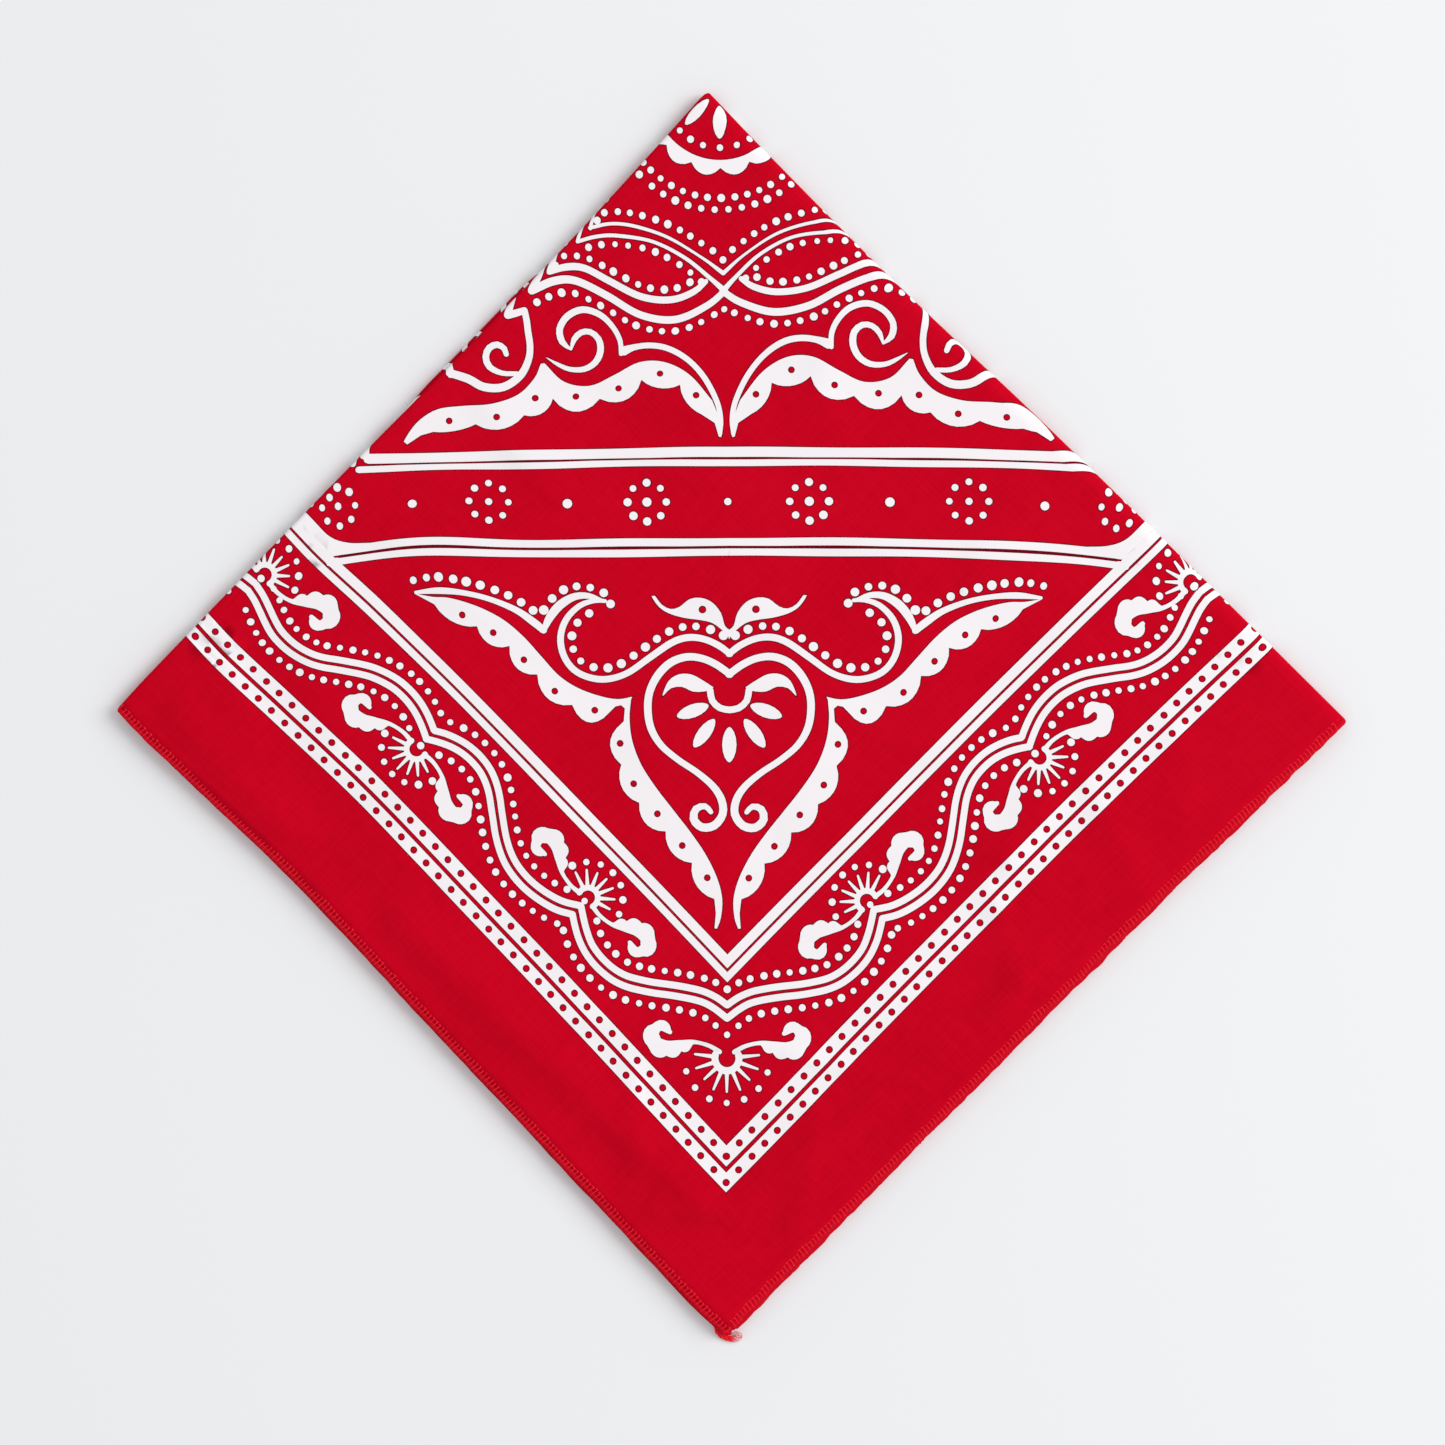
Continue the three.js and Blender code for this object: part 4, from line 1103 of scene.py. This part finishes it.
def stitch_tree(sizes):
    """A pair of stitches on every point: a thread over the edge and a needle stitch. The point attributes
    up and out turn them, up away from the cloth and out towards its edge."""
    tree = bpy.data.node_groups.new("overlock_stitches", "GeometryNodeTree")
    tree.interface.new_socket("Geometry", in_out="INPUT", socket_type="NodeSocketGeometry")
    tree.interface.new_socket("Geometry", in_out="OUTPUT", socket_type="NodeSocketGeometry")
    for name in sizes:
        tree.interface.new_socket(name, in_out="INPUT", socket_type="NodeSocketFloat")
    tree.interface.new_socket("Seed", in_out="INPUT", socket_type="NodeSocketInt")
    tree.interface.new_socket("Thread", in_out="INPUT", socket_type="NodeSocketMaterial")
    nodes = Nodes(tree)
    given = {socket.name: Value(nodes, socket) for socket in tree.nodes.new("NodeGroupInput").outputs}

    def spot(x, y, z):
        return nodes.node("ShaderNodeCombineXYZ", {}, {0: x, 1: y, 2: z})

    def thread(start, middle, end, steps):
        line = nodes.node("GeometryNodeCurveQuadraticBezier", {}, {
            "Resolution": steps, "Start": start, "Middle": middle, "End": end})
        ring = nodes.node("GeometryNodeCurvePrimitiveCircle", {}, {
            "Resolution": 5, "Radius": given["Thread radius"]})
        return nodes.node("GeometryNodeCurveToMesh", {}, {
            "Curve": line, "Profile Curve": ring, "Fill Caps": True})

    # Heights are shares of how far the cloth's face lies above the middle of the bead.
    inner, outer = given["Needle line"] * -1.0, given["Outer side"]
    level, slant, length = given["Cloth level"], given["Slant"], given["Needle stitch"] * 0.5
    over_edge = thread(spot(inner, slant, level * 0.9), spot(0.0, 0.0, level * 1.45),
                       spot(outer, slant * -1.0, 0.1 * level), 5)
    needle = thread(spot(inner, length * -1.0, level * 0.6), spot(inner, 0.0, level * 1.25),
                    spot(inner, length, level * 0.6), 3)
    up = nodes.node("GeometryNodeInputNamedAttribute", {"data_type": "FLOAT_VECTOR"}, {"Name": "up"})
    out = nodes.node("GeometryNodeInputNamedAttribute", {"data_type": "FLOAT_VECTOR"}, {"Name": "out"})
    turn = nodes.node("FunctionNodeAxesToRotation", {"primary_axis": "Z", "secondary_axis": "X"},
                      {0: up, 1: out})
    least, most = 1.0 - given["Unevenness"], 1.0 + given["Unevenness"]
    scale = nodes.node("FunctionNodeRandomValue", {"data_type": "FLOAT_VECTOR"}, {
        0: spot(least, least, 1.0), 1: spot(most, most, 1.0), "Seed": given["Seed"]})
    pair = nodes.node("GeometryNodeJoinGeometry", {}, {0: [over_edge, needle]})
    placed = nodes.node("GeometryNodeInstanceOnPoints", {}, {
        "Points": given["Geometry"], "Instance": pair, "Rotation": turn, "Scale": scale})
    real = nodes.node("GeometryNodeRealizeInstances", {}, {0: placed})
    smooth_faces = nodes.node("GeometryNodeSetShadeSmooth", {}, {"Geometry": real, "Shade Smooth": True})
    made = nodes.node("GeometryNodeSetMaterial", {}, {
        "Geometry": smooth_faces, "Material": given["Thread"]})
    nodes.node("NodeGroupOutput", {}, {0: made})
    return tree


def unit(rows):
    return rows / np.linalg.norm(rows, axis=1)[:, None]


def stitch_points():
    """Where the stitches sit in the middle of the bead, and their directions up and out."""
    spots, ups, outs = [], [], []
    for stations, length, place, shift in stitch_runs:
        at = np.arange(length[0] + STITCHES_FROM_END, length[-1] - STITCHES_FROM_END, STITCH_PITCH)
        station = np.interp(at, length, stations)
        reach = HEM_MIDDLE + np.interp(at, length, shift)
        middle = place(station, reach, 0)
        up = unit(place(station, reach, HEM_RISE) - middle)
        out = unit(place(station, reach + HEM_HALF, 0) - middle)
        sunk = np.where(up[:, 2:] < FACES_DOWN, UNDERSIDE_SUNK, 0)
        spots.append(middle + sunk * up)
        ups.append(up)
        outs.append(out)
    return np.vstack(spots), np.vstack(ups), np.vstack(outs)


overlock_thread = thread_material()
stitch_sizes = {
    "Needle line": 1.35 * MM, "Outer side": 1.05 * MM, "Slant": 0.25 * MM, "Cloth level": 0.5 * MM,
    "Needle stitch": 0.9 * MM, "Thread radius": 0.2 * MM, "Unevenness": 0.18,
}
spots, ups, outs = stitch_points()
stitch_mesh = bpy.data.meshes.new("overlock_stitches")
stitch_mesh.from_pydata((spots * MM).tolist(), [], [])
set_vectors(stitch_mesh, "up", ups)
set_vectors(stitch_mesh, "out", outs)
stitches = put_in_scene("overlock_stitches", stitch_mesh)
sewing = stitches.modifiers.new("sewing", "NODES")
sewing.node_group = stitch_tree(stitch_sizes)
for socket in sewing.node_group.interface.items_tree:
    if socket.in_out == "INPUT" and socket.name != "Geometry":
        sewing[socket.identifier] = {**stitch_sizes, "Seed": 5, "Thread": overlock_thread}[socket.name]
sewn = bpy.data.meshes.new_from_object(stitches.evaluated_get(bpy.context.evaluated_depsgraph_get()))
stitches.modifiers.clear()
stitches.data = sewn
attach(stitches, "root")

# The thread end: the tail of the overlock chain, four strands of the same thread, left loose where the
# seam ends at the open corner. It is red, and frays to pale pink at its tip, which curls back on itself.

# Rows of x, y, height above the table and width.
TAIL = [(-5.2, -192.6, 2.0, 0.4), (-4.5, -194.3, 1.5, 0.9), (-3.0, -195.7, 1.1, 1.0),
        (-0.8, -196.5, 1.0, 1.0), (1.3, -196.6, 1.0, 1.0), (2.5, -195.9, 1.1, 1.1),
        (1.7, -195.0, 1.3, 1.0), (0.4, -194.6, 1.3, 0.6)]
TAIL_STRANDS, TAIL_STEP, TAIL_TWIST = 4, 0.25, 0.95
TAIL_RADIUS, TAIL_LOWEST = 0.38, 0.36
PALE_FROM, PALE_OVER, PALE_SHARE = 0.52, 0.2, 0.95
# No strand runs along this direction, so it gives every one of them a side.
SLANTED = (0.21, 0.13, 0.97)


def thread_tubes(lines, radius, sides=6):
    """Closed tubes along rows of points, as vertices, faces and each vertex's share of the length. They
    thin out towards their last end."""
    vertices, faces, shares = [], [], []
    for line in lines:
        line = np.array(line, float)
        along = unit(np.gradient(line, axis=0))
        side = unit(np.cross(along, SLANTED))
        other = np.cross(along, side)
        share = np.linspace(0, 1, len(line))
        around = np.arange(sides) * 2 * math.pi / sides
        thick = radius * (1 - 0.75 * share ** 4)[:, None, None]
        ring = line[:, None] + thick * (
            np.cos(around)[:, None] * side[:, None] + np.sin(around)[:, None] * other[:, None])
        first = len(vertices)
        vertices += ring.reshape(-1, 3).tolist()
        shares += np.repeat(share, sides).tolist()
        last = first + (len(line) - 1) * sides
        for row in range(first, last, sides):
            faces += [(row + k, row + (k + 1) % sides, row + sides + (k + 1) % sides, row + sides + k)
                      for k in range(sides)]
        faces.append(tuple(range(first, first + sides))[::-1])
        faces.append(tuple(range(last, last + sides)))
    return vertices, faces, shares


def loose_threads():
    path = curve([row[:2] for row in TAIL], TAIL_STEP)
    rows = np.linspace(0, 1, len(path))
    known = np.linspace(0, 1, len(TAIL))
    height, width = (np.interp(rows, known, [row[i] for row in TAIL]) for i in (2, 3))
    side = sideways(path)
    lines = []
    for strand in range(TAIL_STRANDS):
        turn = TAIL_TWIST * np.arange(len(path)) * TAIL_STEP + strand * 2 * math.pi / TAIL_STRANDS
        spread_out = 0.55 * width * (1 + 0.5 * rows ** 3)
        level = height * 0.62 + 0.5 * spread_out * np.sin(turn)
        lines.append(np.column_stack([path + side * (spread_out * np.cos(turn))[:, None],
                                      np.maximum(level, TAIL_LOWEST)]))
    vertices, faces, shares = thread_tubes(lines, TAIL_RADIUS)
    mesh = bpy.data.meshes.new("loose_thread")
    mesh.from_pydata((np.array(vertices) * MM).tolist(), [], faces)
    pale = smooth((np.array(shares) - PALE_FROM) / PALE_OVER) * PALE_SHARE
    mesh.attributes.new("pale", "FLOAT", "POINT").data.foreach_set("value", pale.astype(np.float32))
    mesh.polygons.foreach_set("use_smooth", [True] * len(mesh.polygons))
    mesh.materials.append(overlock_thread)
    mesh.update()
    return put_in_scene("loose_thread", mesh)


thread_end = loose_threads()
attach(thread_end, "root")

# The table, the light and the camera. The bandana lies on a pale table under wide soft light from the
# upper right, and is seen from straight above.
TABLE_HALF, TABLE_LEVEL = 9, -0.0002
corners = [(x * TABLE_HALF, y * TABLE_HALF, TABLE_LEVEL) for x, y in ((-1, -1), (1, -1), (1, 1), (-1, 1))]
floor_mesh = bpy.data.meshes.new("table_top")
floor_mesh.from_pydata(corners, [], [(0, 1, 2, 3)])
floor = put_in_scene("table_top", floor_mesh)
table_paint, nodes = new_material("table_paint")
shader = nodes.node("ShaderNodeBsdfPrincipled", {}, {
    "Base Color": (0.84, 0.845, 0.855, 1), "Roughness": 0.9, "Specular IOR Level": 0.1})
nodes.node("ShaderNodeOutputMaterial", {}, {"Surface": shader})
floor_mesh.materials.append(table_paint)

scene = bpy.context.scene
scene.view_settings.view_transform = "Standard"
world = bpy.data.worlds.new("studio")
scene.world = world
world.use_nodes = True
sky = world.node_tree.nodes["Background"]
sky.inputs["Color"].default_value = (0.97, 0.985, 1, 1)
sky.inputs["Strength"].default_value = 0.66
SOFT_BOX_SPOT = (3.2, 0.9, 2.6)
light = bpy.data.lights.new("soft_box", "AREA")
light.shape = "SQUARE"
light.size = 2.6
light.energy = 122
lamp = put_in_scene("soft_box", light)
lamp.location = SOFT_BOX_SPOT
lamp.rotation_euler = (-Vector(SOFT_BOX_SPOT)).to_track_quat("-Z", "Y").to_euler()

VIEW_WIDTH, LENS, SENSOR = 454.2, 85, 36
VIEW_MIDDLE = (-3.05, -2.07)
camera_data = bpy.data.cameras.new("camera")
camera_data.lens = LENS
camera_data.sensor_width = SENSOR
camera = put_in_scene("camera", camera_data)
camera.location = (VIEW_MIDDLE[0] * MM, VIEW_MIDDLE[1] * MM, (STACK + VIEW_WIDTH * LENS / SENSOR) * MM)
scene.camera = camera
